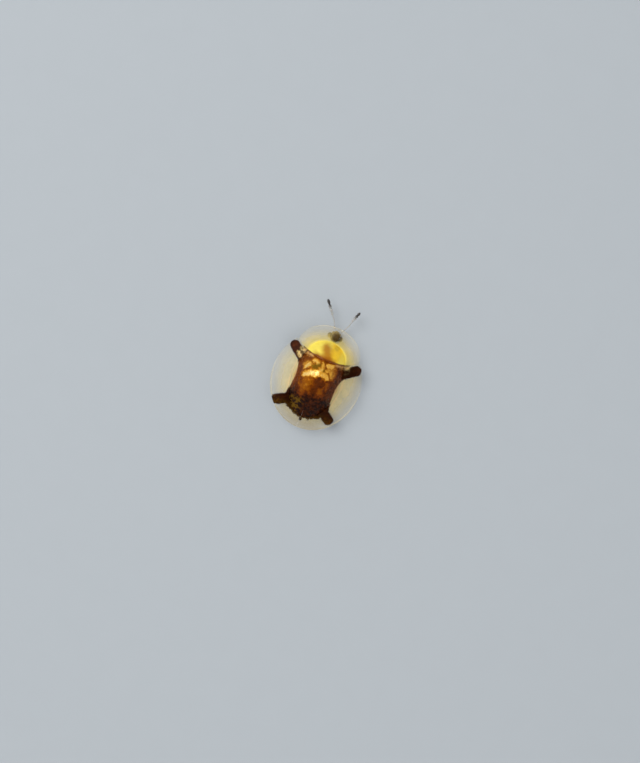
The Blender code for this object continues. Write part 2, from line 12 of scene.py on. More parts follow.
import bmesh
import bpy
from bpy.props import FloatProperty, FloatVectorProperty, IntProperty, PointerProperty
from mathutils import Matrix, Vector
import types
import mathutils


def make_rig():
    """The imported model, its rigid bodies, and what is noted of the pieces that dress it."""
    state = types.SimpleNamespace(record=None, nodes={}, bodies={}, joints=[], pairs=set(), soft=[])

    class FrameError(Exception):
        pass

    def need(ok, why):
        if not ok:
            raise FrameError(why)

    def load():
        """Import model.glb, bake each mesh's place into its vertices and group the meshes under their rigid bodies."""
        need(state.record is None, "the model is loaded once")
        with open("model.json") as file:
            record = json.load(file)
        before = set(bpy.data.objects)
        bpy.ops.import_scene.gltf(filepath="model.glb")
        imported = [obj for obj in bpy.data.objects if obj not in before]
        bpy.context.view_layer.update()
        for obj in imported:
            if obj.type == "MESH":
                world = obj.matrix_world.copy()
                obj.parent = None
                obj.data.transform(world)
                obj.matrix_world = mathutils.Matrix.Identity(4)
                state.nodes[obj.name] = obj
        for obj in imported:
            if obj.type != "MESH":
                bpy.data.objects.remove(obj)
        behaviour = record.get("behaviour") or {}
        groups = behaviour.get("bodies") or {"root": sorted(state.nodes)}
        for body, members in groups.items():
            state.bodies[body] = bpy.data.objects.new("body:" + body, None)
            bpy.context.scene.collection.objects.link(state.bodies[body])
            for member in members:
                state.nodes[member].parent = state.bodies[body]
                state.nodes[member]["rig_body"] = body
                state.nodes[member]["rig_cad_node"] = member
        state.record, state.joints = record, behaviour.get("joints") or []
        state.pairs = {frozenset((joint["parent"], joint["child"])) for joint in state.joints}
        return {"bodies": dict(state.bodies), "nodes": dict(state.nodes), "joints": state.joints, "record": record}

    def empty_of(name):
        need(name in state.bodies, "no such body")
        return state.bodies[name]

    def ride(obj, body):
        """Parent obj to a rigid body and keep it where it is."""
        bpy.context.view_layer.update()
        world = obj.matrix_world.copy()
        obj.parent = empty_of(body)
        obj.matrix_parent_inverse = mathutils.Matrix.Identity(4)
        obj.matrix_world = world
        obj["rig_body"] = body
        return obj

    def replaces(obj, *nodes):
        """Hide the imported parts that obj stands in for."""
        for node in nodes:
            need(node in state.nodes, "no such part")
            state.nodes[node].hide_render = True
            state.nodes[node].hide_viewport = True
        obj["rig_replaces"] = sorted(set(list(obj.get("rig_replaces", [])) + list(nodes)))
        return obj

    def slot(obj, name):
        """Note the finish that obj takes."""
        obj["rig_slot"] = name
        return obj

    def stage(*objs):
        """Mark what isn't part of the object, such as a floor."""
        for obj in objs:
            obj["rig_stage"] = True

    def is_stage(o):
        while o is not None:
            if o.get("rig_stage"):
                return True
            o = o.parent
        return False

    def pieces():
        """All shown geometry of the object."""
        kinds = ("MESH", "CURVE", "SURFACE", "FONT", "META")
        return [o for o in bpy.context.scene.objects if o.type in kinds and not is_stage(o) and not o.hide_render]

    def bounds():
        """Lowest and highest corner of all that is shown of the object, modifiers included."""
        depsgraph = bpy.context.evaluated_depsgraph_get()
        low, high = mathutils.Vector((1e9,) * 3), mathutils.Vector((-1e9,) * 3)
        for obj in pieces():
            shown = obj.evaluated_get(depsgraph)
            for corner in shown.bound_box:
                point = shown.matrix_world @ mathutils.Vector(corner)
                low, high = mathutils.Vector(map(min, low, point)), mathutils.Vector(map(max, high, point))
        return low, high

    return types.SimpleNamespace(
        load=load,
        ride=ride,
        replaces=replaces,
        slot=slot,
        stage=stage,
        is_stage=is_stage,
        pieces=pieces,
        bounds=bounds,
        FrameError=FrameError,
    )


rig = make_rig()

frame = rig.load()

bl_info = {
    "name": "Golden Tortoise Beetle",
    "version": (1, 0, 0),
    "blender": (4, 5, 0),
    "location": "View3D > Sidebar > Beetle",
    "description": "Builds the shell, head, feelers, legs and studio of a tortoise beetle",
    "category": "Object",
}

SIZE_FILE = "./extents.json"
MM = 0.001
SIDES = (("left", -1), ("right", 1))

Oval = namedtuple("Oval", "middle half_length half_width")
Leg = namedtuple("Leg", "name hip knee ankle toe")

# Shield seen from above, as in the solids except for the width of its seams
ANTENNA_REACH = 2.6
SHIELD = Oval(0.0, 6.0, 5.074)
ELYTRA = Oval(-0.4, 5.6, 5.074)
ELYTRA_DISC = Oval(-0.3, 4.4, 2.78)
PRONOTUM = Oval(3.1, 2.9, 3.65)
PRONOTUM_DISC = Oval(2.55, 1.67, 2.17)
JOINT_DEPTH = 1.03
DISC_END = 0.05
CLOSE = 0.001
SCUTELLUM_TIP = 1.4
SCUTELLUM_HALF_WIDTH = 0.36
SCUTELLUM_TIP_HALF_WIDTH = 0.012

# Heights of the shield's upper surface, as in the solids except for a lower tip on the hump
RIM_HEIGHT = 1.6
MARGIN_RISE = 1.55
FRONT_LIFT = 0.35
FRONT_LIFT_FROM = 2.0
HUMP_FORWARD = 0.6
HUMP_BULGE = 1.95
CROWN_ROUNDNESS = 2.3
TUBERCLE_HEIGHT = 0.08
TUBERCLE_RADIUS = 0.6
JOINT_BULGE = 1.45
PRONOTUM_SPREAD = (2.13, 2.3)

# Dark bars across the clear margin, as in the solids
FRONT_BAR = ((1.35, 2.35), (2.4, 3.75))
REAR_BAR = ((-3.4, 2.15), (-3.9, 2.95))
BAR_HALF_WIDTH = 0.56
BAR_RELIEF = 0.12

# The left rear bar, which reaches further out, and how square the ends of the bars are
LONG_BAR = ((-3.4, -2.15), (-3.95, -3.25))
FRONT_SQUARENESS = 2.0
REAR_SQUARENESS = 3.0

# Dark middle of the wing cases: its waist, its sides and rear end, and the pale parts in front
WAIST = (-0.7, 2.38)
FLARE_AHEAD = 0.14
FLARE_BEHIND = 0.045
DARK_SIDES = 2.75
DARK_REAR = -4.85
SPUR = ((-4.7, 0.0), (-5.05, 0.06))
PALE_STRIP = ((2.03, 1.5), (2.32, 2.7))
WINDOW = ((1.42, 2.62), (1.75, 3.0))

# Collar plate: its amber middle, which is a painted dark reflection, its olive front corner, and the clearest part of
# its margin
REFLECTED_DARK_MIDDLE = ((3.4, -0.3), (2.3, 0.2))
OLIVE_CORNER = (3.85, 0.75)
ABOVE_HEAD = (5.0, 0.15)

# Spots of light on the wing cases: start, end, half width, and how bright from 0 to 1
GLOWS = (
    ((-0.2, -1.42), (0.15, -0.81), 0.24, 0.95),
    ((0.15, -0.81), (0.46, -0.15), 0.29, 0.97),
    ((0.5, -0.05), (1.0, 0.1), 0.26, 0.72),
    ((1.0, 0.1), (1.6, 0.0), 0.2, 0.6),
    ((1.6, -1.05), (1.57, -0.6), 0.19, 0.74),
    ((1.01, -1.46), (0.7, -1.62), 0.27, 0.86),
    ((1.62, 0.6), (1.78, 1.2), 0.19, 0.78),
    ((1.16, 0.75), (1.05, 1.25), 0.3, 0.4),
    ((1.1, 1.6), (0.65, 1.58), 0.22, 0.3),
    ((0.49, 0.4), (0.36, 1.05), 0.26, 0.8),
    ((-0.7, -0.92), (-1.5, -0.98), 0.42, 0.36),
    ((-1.9, -1.0), (-2.3, -1.05), 0.3, 0.26),
    ((-1.99, -0.2), (-1.9, -0.1), 0.16, 0.25),
    ((-0.3, 1.35), (-0.85, 1.2), 0.2, 0.25),
    ((-1.62, 0.89), (-1.5, 0.8), 0.3, 0.25),
)
GLOW_FADE = 2.1

# Dim olive spots between them: start, end and half width
SHADES = (
    ((1.32, -0.42), (0.96, -0.94), 0.2),
    ((0.96, -0.8), (0.9, -0.55), 0.2),
    ((0.85, 0.35), (1.0, 0.4), 0.12),
)

# Dark creases between them: start, end and half width
CREASES = (
    ((1.5, -2.3), (1.58, -1.3), 0.15),
    ((0.1, -1.8), (0.62, -1.2), 0.1),
    ((1.89, 0.18), (1.25, 0.46), 0.08),
    ((0.85, 1.05), (0.31, 1.3), 0.1),
)

# Dark red spots behind them: start, end and half width
HOLLOWS = (
    ((-0.4, 0.1), (-0.49, 0.62), 0.3),
    ((-1.2, 0.11), (-1.6, 0.2), 0.3),
    ((-1.95, -1.75), (-1.6, -1.8), 0.25),
)

# Wandering ridges between the blotches
RIDGES = (
    ((1.67, 2.37), (1.57, 1.88)),
    ((1.57, 1.88), (1.59, 1.52)),
    ((1.59, 1.52), (1.85, 1.3)),
    ((0.28, 1.72), (0.83, 1.19)),
    ((0.83, 1.19), (1.3, 1.25)),
)
RIDGE_HALF_WIDTH = 0.16

# Rear end of the golden front, and how far it slants back on the left
GOLD_REAR = 0.15
GOLD_SLANT = 0.35

# Rows of pits: how far apart they are, how far apart their pits, and the shift from row to row
PIT_ROW = 0.27
PIT_STEP = 0.25
PIT_SHIFT = 0.37

# Rounding of the edges of the plates and of the clear margins, and how far up an upper face looks
PLATE_BEVEL = 0.012
TRIANGLE_BEVEL = 0.015
MARGIN_BEVEL = 0.03
FACES_UP = 0.3

# Corners nearer than this are merged, edges sharper than these are bevelled and shaded as edges
MERGED_WITHIN = 0.0004
BEVEL_FROM = math.radians(50)
SMOOTH_UP_TO = math.radians(40)

# Underside, as in the solids
SHELL = 0.5
STEEP_SHELL = 0.75
GAP = 0.2
STEEP_GAP = 0.35
SPINE_HEIGHT = 1.15
FLANK_CURVE = 0.32
WIDEST_TRUNK = 2.5
THINNEST = 0.2
PROSTERNUM_DROP = 0.2
PROSTERNUM_SPAN = (2.3, 4.1)
THORAX_SPAN = (-0.95, 2.1)
ABDOMEN_SPAN = (-4.0, -1.15)
STERNITES = 5
TAIL_TUCK = 0.12

# Head, as in the solids
HEAD_MIDDLE = (5.02, 0.0, 0.9)
HEAD_RADII = (0.62, 0.6, 0.5)
EYE_MIDDLE = (4.95, 0.64, 0.95)
EYE_RADII = (0.31, 0.27, 0.34)
SOCKET = (5.42, 0.36, 1.0)
LABRUM = (5.5, 0.0, 0.55)
MANDIBLE = (5.35, 0.17, 0.38)
PALP = ((5.1, 0.32, 0.5), (5.3, 0.5, 0.32), (5.52, 0.45, 0.2))

# Dark patch on the head, its own dark top partly moved right as painted shade, and the jaw's root, bend and tip
# measured from its middle
HEAD_TOP_AND_SHADE = (4.9, 0.25)
JAW = ((-0.15, 0.09, 0.1), (0.05, 0.09, 0.0), (0.18, -0.12, -0.06))

# Feelers, as in the solids
ANTENNA_LEFT = ((5.72, -0.4, 1.0), (6.45, -0.72, 1.08), (7.3, -1.4, 1.3), (8.55, -2.43, 1.75))
ANTENNA_RIGHT = ((5.72, 0.4, 1.0), (6.5, 0.86, 1.08), (7.5, 1.15, 1.3), (8.55, 1.5, 1.75))
ANTENNA_JOINTS = (0.45, 0.24, 0.3, 0.3, 0.3, 0.3, 0.33, 0.34, 0.34, 0.34, 0.5)

# Half thickness of a feeler's root, shaft and club, and where the club and its hairs start
FEELER_ROOT = 0.13
FEELER_SHAFT = 0.085
FEELER_CLUB = 0.18
CLUB_FROM = 7.85
FIRST_HAIRY_JOINT = 7

# Legs, as in the solids, with the places given for the right side
LEGS = (
    Leg("front", (2.75, 0.62, 0.88), (2.85, 1.9, 0.9), (2.15, 2.95, 0.4), (2.25, 3.95, 0.0)),
    Leg("middle", (0.8, 0.95, 0.88), (1.5, 2.1, 0.9), (0.05, 2.4, 0.4), (-1.1, 2.45, 0.0)),
    Leg("hind", (-0.55, 0.9, 0.88), (-1.95, 2.05, 0.9), (-3.35, 2.55, 0.4), (-4.15, 3.3, 0.0)),
)
TARSUS_START = 0.3
CLAW_LENGTH = 0.2

# Details of the legs: spurs round a shin's end, and a foot lobe's places and radii
SPURS = 22
LOBE = (
    (0.54, 0.155, 0.08),
    (0.64, 0.15, 0.15),
    (0.78, 0.145, 0.19),
    (0.88, 0.14, 0.18),
    (0.92, 0.14, 0.17),
)
LOBE_RADII = (0.1, (0.15, 0.11), (0.145, 0.11), (0.1, 0.08), (0.05, 0.04))

# Brushes under a foot: where along it, how far aside, and how wide
PADS = ((0.08, 0.0, 0.17), (0.33, 0.0, 0.2), (0.73, -0.17, 0.14), (0.73, 0.17, 0.14))

# Even scattering of hairs: the golden share of a length, and the golden angle
GOLDEN_SHARE = 0.618034
GOLDEN_ANGLE = 2.399963

# Skin between the hard plates: places along it, and its radii there
NECK_SKIN = ((3.8, 0, 1.05), (4.2, 0, 0.98), (4.5, 0, 0.93), (4.75, 0, 0.9))
NECK_RADII = (0.3, 0.3, 0.31, 0.32)
WAIST_SKIN = ((-0.85, 0, 1.6), (-1.0, 0, 1.58), (-1.1, 0, 1.58), (-1.25, 0, 1.6))
WAIST_RADII = ((1.2, 0.3), (1.2, 0.3), (1.2, 0.3), (1.2, 0.3))

# Studio in metres: each lamp's name, place, size and share of the key light, and the camera
LAMPS = (
    ("key_light", (0.26, -0.1, 0.42), 0.35, 1.0),
    ("fill_light", (-0.13, 0.14, 0.42), 0.5, 0.45),
)
FLOOR_SIZE = 4.0
CAMERA_SPOT = (-0.000436, 0.001599)
SENSOR_WIDTH = 36.0
NEAREST_SEEN = 0.001

# Light from all round: at the horizon, overhead, and how high up the latter starts
HORIZON = (1.0, 1.0, 1.0, 1.0)
OVERHEAD = (0.07, 0.075, 0.08, 1.0)
OVERHEAD_FROM = 0.85


# Settings
def length(name, description, default):
    """A length that is kept in metres."""
    return FloatProperty(
        name=name, description=description, default=default, min=0.0, unit="LENGTH", precision=6
    )


def colour(name, description, default):
    return FloatVectorProperty(
        name=name, description=description, default=default, size=3, subtype="COLOR", min=0, max=1
    )


class BeetleShellSettings(bpy.types.PropertyGroup):
    plate: length("Plate", "Thickness of the wing cases and the collar plate", 0.0003)
    root: length("Margin root", "Thickness of the clear margin where it leaves the plates", 0.00042)
    edge: length("Margin edge", "Thickness of the clear margin along its outer edge", 0.00014)
    seam: length("Seam", "Half the width of the lines where two plates meet", 0.000006)
    ridge: length("Ridge", "Height of the wandering ridges on the wing cases", 0.00004)
    rim: length("Rim", "Height of the bead along the outer edge", 0.00003)


class BeetleDetailSettings(bpy.types.PropertyGroup):
    eye_fineness: IntProperty(
        name="Eye fineness", description="Times that the eye's facets are split", default=5, min=2, max=6
    )
    sole_hairs: IntProperty(
        name="Sole hairs", description="Hairs under each foot joint", default=70, min=0, max=400
    )
    club_hairs: IntProperty(
        name="Club hairs", description="Hairs on the dark end of each feeler", default=90, min=0, max=400
    )


class BeetleColourSettings(bpy.types.PropertyGroup):
    # The collar's gold and its deeper right gold are painted light and painted shade: the left side lit, the right
    # side shaded
    gold: colour("Gold", "Brightest gold of the collar plate", (1.0, 0.80, 0.105))
    shaded_right_gold: colour("Right gold", "Deeper gold of the collar's right side", (1.0, 0.62, 0.02))
    # Amber gold paints the dark reflection along the collar's middle, and some of its grain
    amber_gold: colour("Amber gold", "Gold along the collar's middle", (0.46, 0.165, 0.001))
    pale_gold: colour("Pale gold", "Brightest spots of the wing cases", (1.0, 0.70, 0.24))
    rich_gold: colour("Rich gold", "Rims of the bright spots", (0.88, 0.43, 0.045))
    ember: colour("Ember", "Orange round the gold", (0.37, 0.11, 0.003))
    bronze: colour("Bronze", "Red-brown of the wing cases' middle and of the lines", (0.18, 0.036, 0.001))
    deep_brown: colour("Deep brown", "Near-black brown of the sides and the rear", (0.014, 0.0025, 0.001))
    # Olive also paints shade over the tail of the clear margin
    olive: colour("Olive", "Olive spots on the gold and along the rear edge", (0.20, 0.11, 0.004))
    bar: colour("Bar", "The four bars across the clear margin", (0.022, 0.005, 0.001))
    margin: colour("Margin", "Tint of the clear margin", (0.93, 0.75, 0.29))
    fringe: colour("Fringe", "Peach of the pale parts next to the joint line", (0.88, 0.53, 0.22))
    waist: colour("Waist", "Clear sides of the wing cases at the waist", (0.6, 0.36, 0.15))
    amber: colour("Amber", "Legs and mouthparts", (0.50, 0.27, 0.06))
    face: colour("Face", "Front of the head", (0.33, 0.25, 0.1))
    vertex: colour("Head top", "Brown patch on top of the head", (0.06, 0.025, 0.001))
    trunk: colour("Trunk", "Underside of the body", (0.05, 0.024, 0.012))
    straw: colour("Straw", "Shafts of the feelers and the hairs", (0.46, 0.46, 0.44))
    club: colour("Club", "Dark end of each feeler", (0.04, 0.036, 0.035))
    eye: colour("Eye", "Facets of the eyes", (0.022, 0.011, 0.004))


class BeetleStageSettings(bpy.types.PropertyGroup):
    focal_length: FloatProperty(
        name="Focal length", description="Lens of the camera", default=85.0, min=1.0, unit="CAMERA"
    )
    camera_height: length("Camera height", "From the floor straight up to the camera", 0.2037)
    camera_turn: FloatProperty(
        name="Camera turn",
        description="Turn of the camera about the upright line",
        default=math.radians(203.5),
        subtype="ANGLE",
    )
    floor: colour("Floor", "Plain pale floor", (0.462, 0.499, 0.53))
    key_power: FloatProperty(
        name="Key light",
        description="Power of the large soft lamp at the upper left",
        default=1.75,
        min=0.0,
        unit="POWER",
    )
    sky: FloatProperty(
        name="Surrounding light", description="Strength of the light all round", default=1.0, min=0.0
    )


def mm(value):
    """A setting's length in millimetres."""
    return value / MM


# Numbers that may be plain or vary over a surface
class Field:
    """A number that varies over a surface. Each sum with it adds a Math node to its material."""

    def __init__(self, paint, socket):
        self.paint = paint
        self.socket = socket

    def math(self, operation, *terms):
        node = self.paint.add("ShaderNodeMath", {"operation": operation}, dict(enumerate(terms)))
        return Field(self.paint, node.outputs[0])

    def __add__(self, other):
        return self.math("ADD", self, other)

    def __radd__(self, other):
        return self.math("ADD", other, self)

    def __sub__(self, other):
        return self.math("SUBTRACT", self, other)

    def __rsub__(self, other):
        return self.math("SUBTRACT", other, self)

    def __mul__(self, other):
        return self.math("MULTIPLY", self, other)

    def __rmul__(self, other):
        return self.math("MULTIPLY", other, self)

    def __truediv__(self, other):
        return self.math("DIVIDE", self, other)

    def __pow__(self, other):
        return self.math("POWER", self, other)

    def __mod__(self, other):
        return self.math("FLOORED_MODULO", self, other)

    def __abs__(self):
        return self.math("ABSOLUTE", self)


def first_field(*values):
    return next((value for value in values if isinstance(value, Field)), None)


def least(a, b):
    field = first_field(a, b)
    return field.math("MINIMUM", a, b) if field else min(a, b)


def most(a, b):
    field = first_field(a, b)
    return field.math("MAXIMUM", a, b) if field else max(a, b)


def root(value):
    return value.math("SQRT", value) if isinstance(value, Field) else math.sqrt(value)


def smooth(value):
    """0 below 0, 1 above 1, with a soft step between."""
    step = least(1.0, most(0.0, value))
    return step * step * (3 - 2 * step)


def soft_rise(value, start, width):
    """0 up to the start, then rising softly to 1 over the width."""
    return smooth((value - start) / width)


def soft_fall(value, start, width):
    """1 up to the start, then falling softly to 0 over the width."""
    return smooth(1.0 - (value - start) / width)


def mix(start, end, share):
    """A value on the way from start to end, at that share of it."""
    return start + (end - start) * share


def away_from(forward, right, place):
    """Distance of a spot in the top view from a place."""
    ahead, across = forward - place[0], right - place[1]
    return root(ahead * ahead + across * across)


def away_from_line(forward, right, start, end):
    """Distance of a spot in the top view from a straight line between two places."""
    line = (end[0] - start[0], end[1] - start[1])
    along = (forward - start[0]) * line[0] + (right - start[1]) * line[1]
    share = least(1.0, most(0.0, along / (line[0] ** 2 + line[1] ** 2)))
    ahead = forward - start[0] - share * line[0]
    across = right - start[1] - share * line[1]
    return root(ahead * ahead + across * across)


def bar_share(forward, away, start, end, squareness):
    """0 on a bar's middle line and 1 on its outline; a high squareness gives it sharper corners."""
    line = (end[0] - start[0], end[1] - start[1])
    span = math.hypot(*line)
    ahead, across = (forward - start[0]) / span, (away - start[1]) / span
    along = ahead * line[0] + across * line[1]
    aside = abs(across * line[0] - ahead * line[1]) / BAR_HALF_WIDTH
    beyond = most(0.0, most(0 - along, along - span)) / BAR_HALF_WIDTH
    return (beyond**squareness + aside**squareness) ** (1 / squareness)


def bars_share(forward, right):
    """The share out of the nearest bar."""
    away = abs(right)
    front = bar_share(forward, away, *FRONT_BAR, FRONT_SQUARENESS)
    rear = bar_share(forward, away, *REAR_BAR, REAR_SQUARENESS)
    return least(front, least(rear, bar_share(forward, right, *LONG_BAR, REAR_SQUARENESS)))


def dark_reach(forward):
    """How far out the dark middle reaches at each side: least at its waist."""
    ahead, behind = most(0.0, forward - WAIST[0]), most(0.0, WAIST[0] - forward)
    return least(DARK_SIDES, WAIST[1] + ahead * ahead * FLARE_AHEAD + behind * behind * FLARE_BEHIND)


def ridge_distance(forward, right):
    """Distance of a spot from the nearest wandering ridge, the same on both sides."""
    away, nearest = abs(right), 10.0
    for start, end in RIDGES:
        nearest = least(nearest, away_from_line(forward, away, start, end))
    return nearest


def glow(forward, right):
    """How bright the spots of light make a place, from 0 to 1."""
    brightest = 0.0
    for start, end, half_width, level in GLOWS:
        near = GLOW_FADE - away_from_line(forward, right, start, end) / half_width
        brightest = most(brightest, smooth(near / GLOW_FADE) * level)
    return brightest


def shade(forward, right, spots):
    """1 in the middle of the nearest dim spot, falling softly to 0 outside it."""
    darkest = 0.0
    for start, end, half_width in spots:
        darkest = most(darkest, 1.6 - away_from_line(forward, right, start, end) / half_width)
    return smooth(darkest / 1.2)


def share_out(oval, forward, right):
    """0 at the oval's middle and 1 on its line."""
    ahead, across = (forward - oval.middle) / oval.half_length, right / oval.half_width
    return root(ahead * ahead + across * across)


# Shape of the shield, as in the solids
def place(forward, right, up):
    """A place on the body as a point of the beetle's own frame, still in millimetres."""
    return Vector((-right, -forward, up))


def mirrored(point, side):
    return (point[0], point[1] * side, point[2])


def on_oval(oval, angle, inset=0.0):
    forward = oval.middle + (oval.half_length - inset) * math.cos(angle)
    return forward, (oval.half_width - inset) * math.sin(angle)


def joint_line(right):
    """How far forward the line lies where the collar meets the wing cases."""
    return PRONOTUM.middle - JOINT_DEPTH * (1 - right * right / PRONOTUM.half_width**2)


def margin_height(forward, right):
    """Height of the clear margin's slope, which runs on below the plates."""
    out = min(1.0, share_out(SHIELD, forward, right))
    lift = FRONT_LIFT * soft_rise(forward, FRONT_LIFT_FROM, SHIELD.half_length - FRONT_LIFT_FROM)
    return RIM_HEIGHT + MARGIN_RISE * smooth(1 - out) + lift


def crest(forward):
    """How far the middle line of the wing cases bulges up above the slope."""
    rear = ELYTRA_DISC.middle - ELYTRA_DISC.half_length
    if forward < HUMP_FORWARD:
        share = (HUMP_FORWARD - forward) / (HUMP_FORWARD - rear)
        return HUMP_BULGE * max(0.0, 1 - share**CROWN_ROUNDNESS)
    share = (forward - HUMP_FORWARD) / (joint_line(0) - HUMP_FORWARD)
    return mix(HUMP_BULGE, JOINT_BULGE, smooth(share))


def elytra_height(forward, right):
    """Height of the wing cases: the shield's slope with the hump on it."""
    along = (forward - ELYTRA_DISC.middle) / ELYTRA_DISC.half_length
    width = ELYTRA_DISC.half_width * math.sqrt(max(1e-6, 1 - along * along))
    crown = max(0.0, 1 - abs(right / width) ** CROWN_ROUNDNESS)
    from_hump = away_from(forward, right, (HUMP_FORWARD, 0.0)) / TUBERCLE_RADIUS
    tubercle = TUBERCLE_HEIGHT * math.exp(-from_hump * from_hump)
    return margin_height(forward, right) + crest(forward) * crown + tubercle


def pronotum_height(forward, right):
    """Height of the collar plate: the shield's slope with a lower dome on it."""
    along = (forward - joint_line(0)) / PRONOTUM_SPREAD[0]
    across = right / PRONOTUM_SPREAD[1]
    crown = max(0.0, 1 - math.hypot(along, across) ** CROWN_ROUNDNESS)
    return margin_height(forward, right) + JOINT_BULGE * crown


def joint_edge(offset):
    """The joint line moved forward by an offset, for a plate that ends there."""
    return lambda right: joint_line(right) + offset


def furthest(low, high, steps, fits):
    """The largest number from low to high that fits, found by halving the range."""
    for _ in range(steps):
        middle = (low + high) / 2
        low, high = (middle, high) if fits(middle) else (low, middle)
    return low


def corner_angle(oval, inset, edge):
    """The angle at which an oval's line crosses a front or rear edge."""

    def is_ahead(angle):
        forward, right = on_oval(oval, angle, inset)
        return forward > edge(right)

    return furthest(0.1, math.pi / 2 + 0.2, 40, is_ahead)


def between(inner, inner_angle, outer, outer_angle, share):
    """A place on the straight line from just outside the inner oval to the outer oval."""
    start, end = on_oval(inner, inner_angle, -CLOSE), on_oval(outer, outer_angle)
    return mix(start[0], end[0], share), mix(start[1], end[1], share)


def trunk_roof(height, forward, right):
    """Height of the trunk's upper side, under a plate and the gap below it."""
    step = 0.01
    along = (height(forward + step, right) - height(forward - step, right)) / (2 * step)
    across = (height(forward, right + step) - height(forward, right - step)) / (2 * step)
    steep = math.sqrt(1 + along * along + across * across)
    return height(forward, right) - min(STEEP_SHELL, SHELL * steep) - min(STEEP_GAP, GAP * steep)


def smooth_path(points, share):
    """A place on the soft curve through the points, by share of the way from first to last."""
    spans = len(points) - 1
    index = min(spans - 1, int(share * spans))
    t = share * spans - index
    p1, p2 = Vector(points[index]), Vector(points[index + 1])
    p0 = Vector(points[index - 1]) if index else 2 * p1 - p2
    p3 = Vector(points[index + 2]) if index + 2 <= spans else 2 * p2 - p1
    bend = (2 * p0 - 5 * p1 + 4 * p2 - p3) * t * t + (3 * (p1 - p2) + p3 - p0) * t**3
    return p1 + 0.5 * ((p2 - p0) * t + bend)


# Bench work
def clear_selection():
    if bpy.context.mode != "OBJECT":
        bpy.ops.object.mode_set(mode="OBJECT")
    bpy.ops.object.select_all(action="DESELECT")


def pick(piece):
    clear_selection()
    piece.select_set(True)
    bpy.context.view_layer.objects.active = piece


def edit_all(piece):
    """Opens a piece in edit mode with all of it selected."""
    pick(piece)
    bpy.ops.object.mode_set(mode="EDIT")
    bpy.ops.mesh.select_all(action="SELECT")


def point_outwards(piece):
    """Merges doubled corners, then turns every face of a closed piece outwards."""
    edit_all(piece)
    bpy.ops.mesh.remove_doubles(threshold=MERGED_WITHIN)
    bpy.ops.mesh.normals_make_consistent(inside=False)
    bpy.ops.object.mode_set(mode="OBJECT")


def apply_modifier(piece, kind, **settings):
    modifier = piece.modifiers.new(kind, kind)
    for name, value in settings.items():
        setattr(modifier, name, value)
    bpy.context.view_layer.objects.active = piece
    bpy.ops.object.modifier_apply(modifier=kind)


def round_off(piece):
    """Splits every face in four and rounds the piece off."""
    apply_modifier(piece, "SUBSURF", levels=1, render_levels=1)


def join(pieces):
    """Makes one piece of several, which keeps the first one's name and place."""
    clear_selection()
    for piece in pieces:
        piece.select_set(True)
    bpy.context.view_layer.objects.active = pieces[0]
    bpy.ops.object.join()
    return pieces[0]


def copy_of(piece, matrix):
    """A copy with its own mesh, put in place by a matrix."""
    twin = piece.copy()
    twin.data = piece.data.copy()
    twin.data.transform(matrix)
    bpy.context.scene.collection.objects.link(twin)
    return twin


def lay(piece, spot):
    """Moves each corner of a flat grid to where spot puts its shares across, along and up."""
    for vertex in piece.data.vertices:
        vertex.co = spot(*vertex.co)
    piece.data.update()


def add_grid(columns, rows):
    """A flat grid that runs from 0 to 1 both ways."""
    clear_selection()
    bpy.ops.mesh.primitive_grid_add(
        x_subdivisions=columns, y_subdivisions=rows, size=1.0, location=(0.5, 0.5, 0.0)
    )
    bpy.ops.object.transform_apply(location=True, rotation=False, scale=False)
    return bpy.context.object


def add_block(columns, rows, spot):
    """A grid raised into a slab, both of whose faces are laid where spot says."""
    block = add_grid(columns, rows)
    edit_all(block)
    bpy.ops.mesh.extrude_region_move(TRANSFORM_OT_translate={"value": (0, 0, 1)})
    bpy.ops.object.mode_set(mode="OBJECT")
    lay(block, spot)
    point_outwards(block)
    return block


def add_plate(columns, rows, spot, height, thickness, bevel):
    """A curved plate with rounded edges: spot gives each place, thickness how deep it is there."""
    sharp_only = {"limit_method": "ANGLE", "angle_limit": BEVEL_FROM}

    def corner(u, v, level):
        forward, right = spot(u, v)
        return place(forward, right, height(forward, abs(right)) - (1 - level) * thickness(u))

    plate = add_block(columns, rows, corner)
    apply_modifier(plate, "BEVEL", width=bevel, segments=2, **sharp_only)
    return plate


def ring_frame(path, index, radii):
    """The matrix that lays a unit ring across a path, level side first."""
    before, after = path[max(0, index - 1)], path[min(len(path) - 1, index + 1)]
    ahead = (after - before).normalized()
    across = ahead.cross(Vector((0, 0, 1)))
    across = across.normalized() if across.length > 0.05 else Vector((1, 0, 0))
    upward = across.cross(ahead).normalized()
    columns = (across * radii[0], upward * radii[1], ahead)
    turn = Matrix([[column[row] for column in columns] for row in range(3)])
    return Matrix.Translation(path[index]) @ turn.to_4x4()


def add_limb(points, radii, sides=12):
    """A closed rod: a ring extruded from place to place and fitted to its two radii at each."""
    path = [place(*point) for point in points]
    sizes = [radius if isinstance(radius, tuple) else (radius, radius) for radius in radii]
    frames = [ring_frame(path, index, size) for index, size in enumerate(sizes)]
    clear_selection()
    bpy.ops.mesh.primitive_circle_add(vertices=sides, radius=1.0, fill_type="NGON")
    limb = bpy.context.object
    limb.data.transform(frames[0])
    edit_all(limb)
    for before, after in zip(frames, frames[1:]):
        bpy.ops.mesh.extrude_region_move()
        shape = bmesh.from_edit_mesh(limb.data)
        chosen = [vert for vert in shape.verts if vert.select]
        bmesh.ops.transform(shape, matrix=after @ before.inverted(), verts=chosen)
    bmesh.update_edit_mesh(limb.data)
    bpy.ops.object.mode_set(mode="OBJECT")
    point_outwards(limb)
    round_off(limb)
    return limb


def add_spindle(start, line, profile, flatness=1.0, sides=12):
    """A limb along a line, from its width at each distance and its height as a share of that."""
    points = [start + line * along for along, _ in profile]
    return add_limb(points, [(wide, wide * flatness) for _, wide in profile], sides)


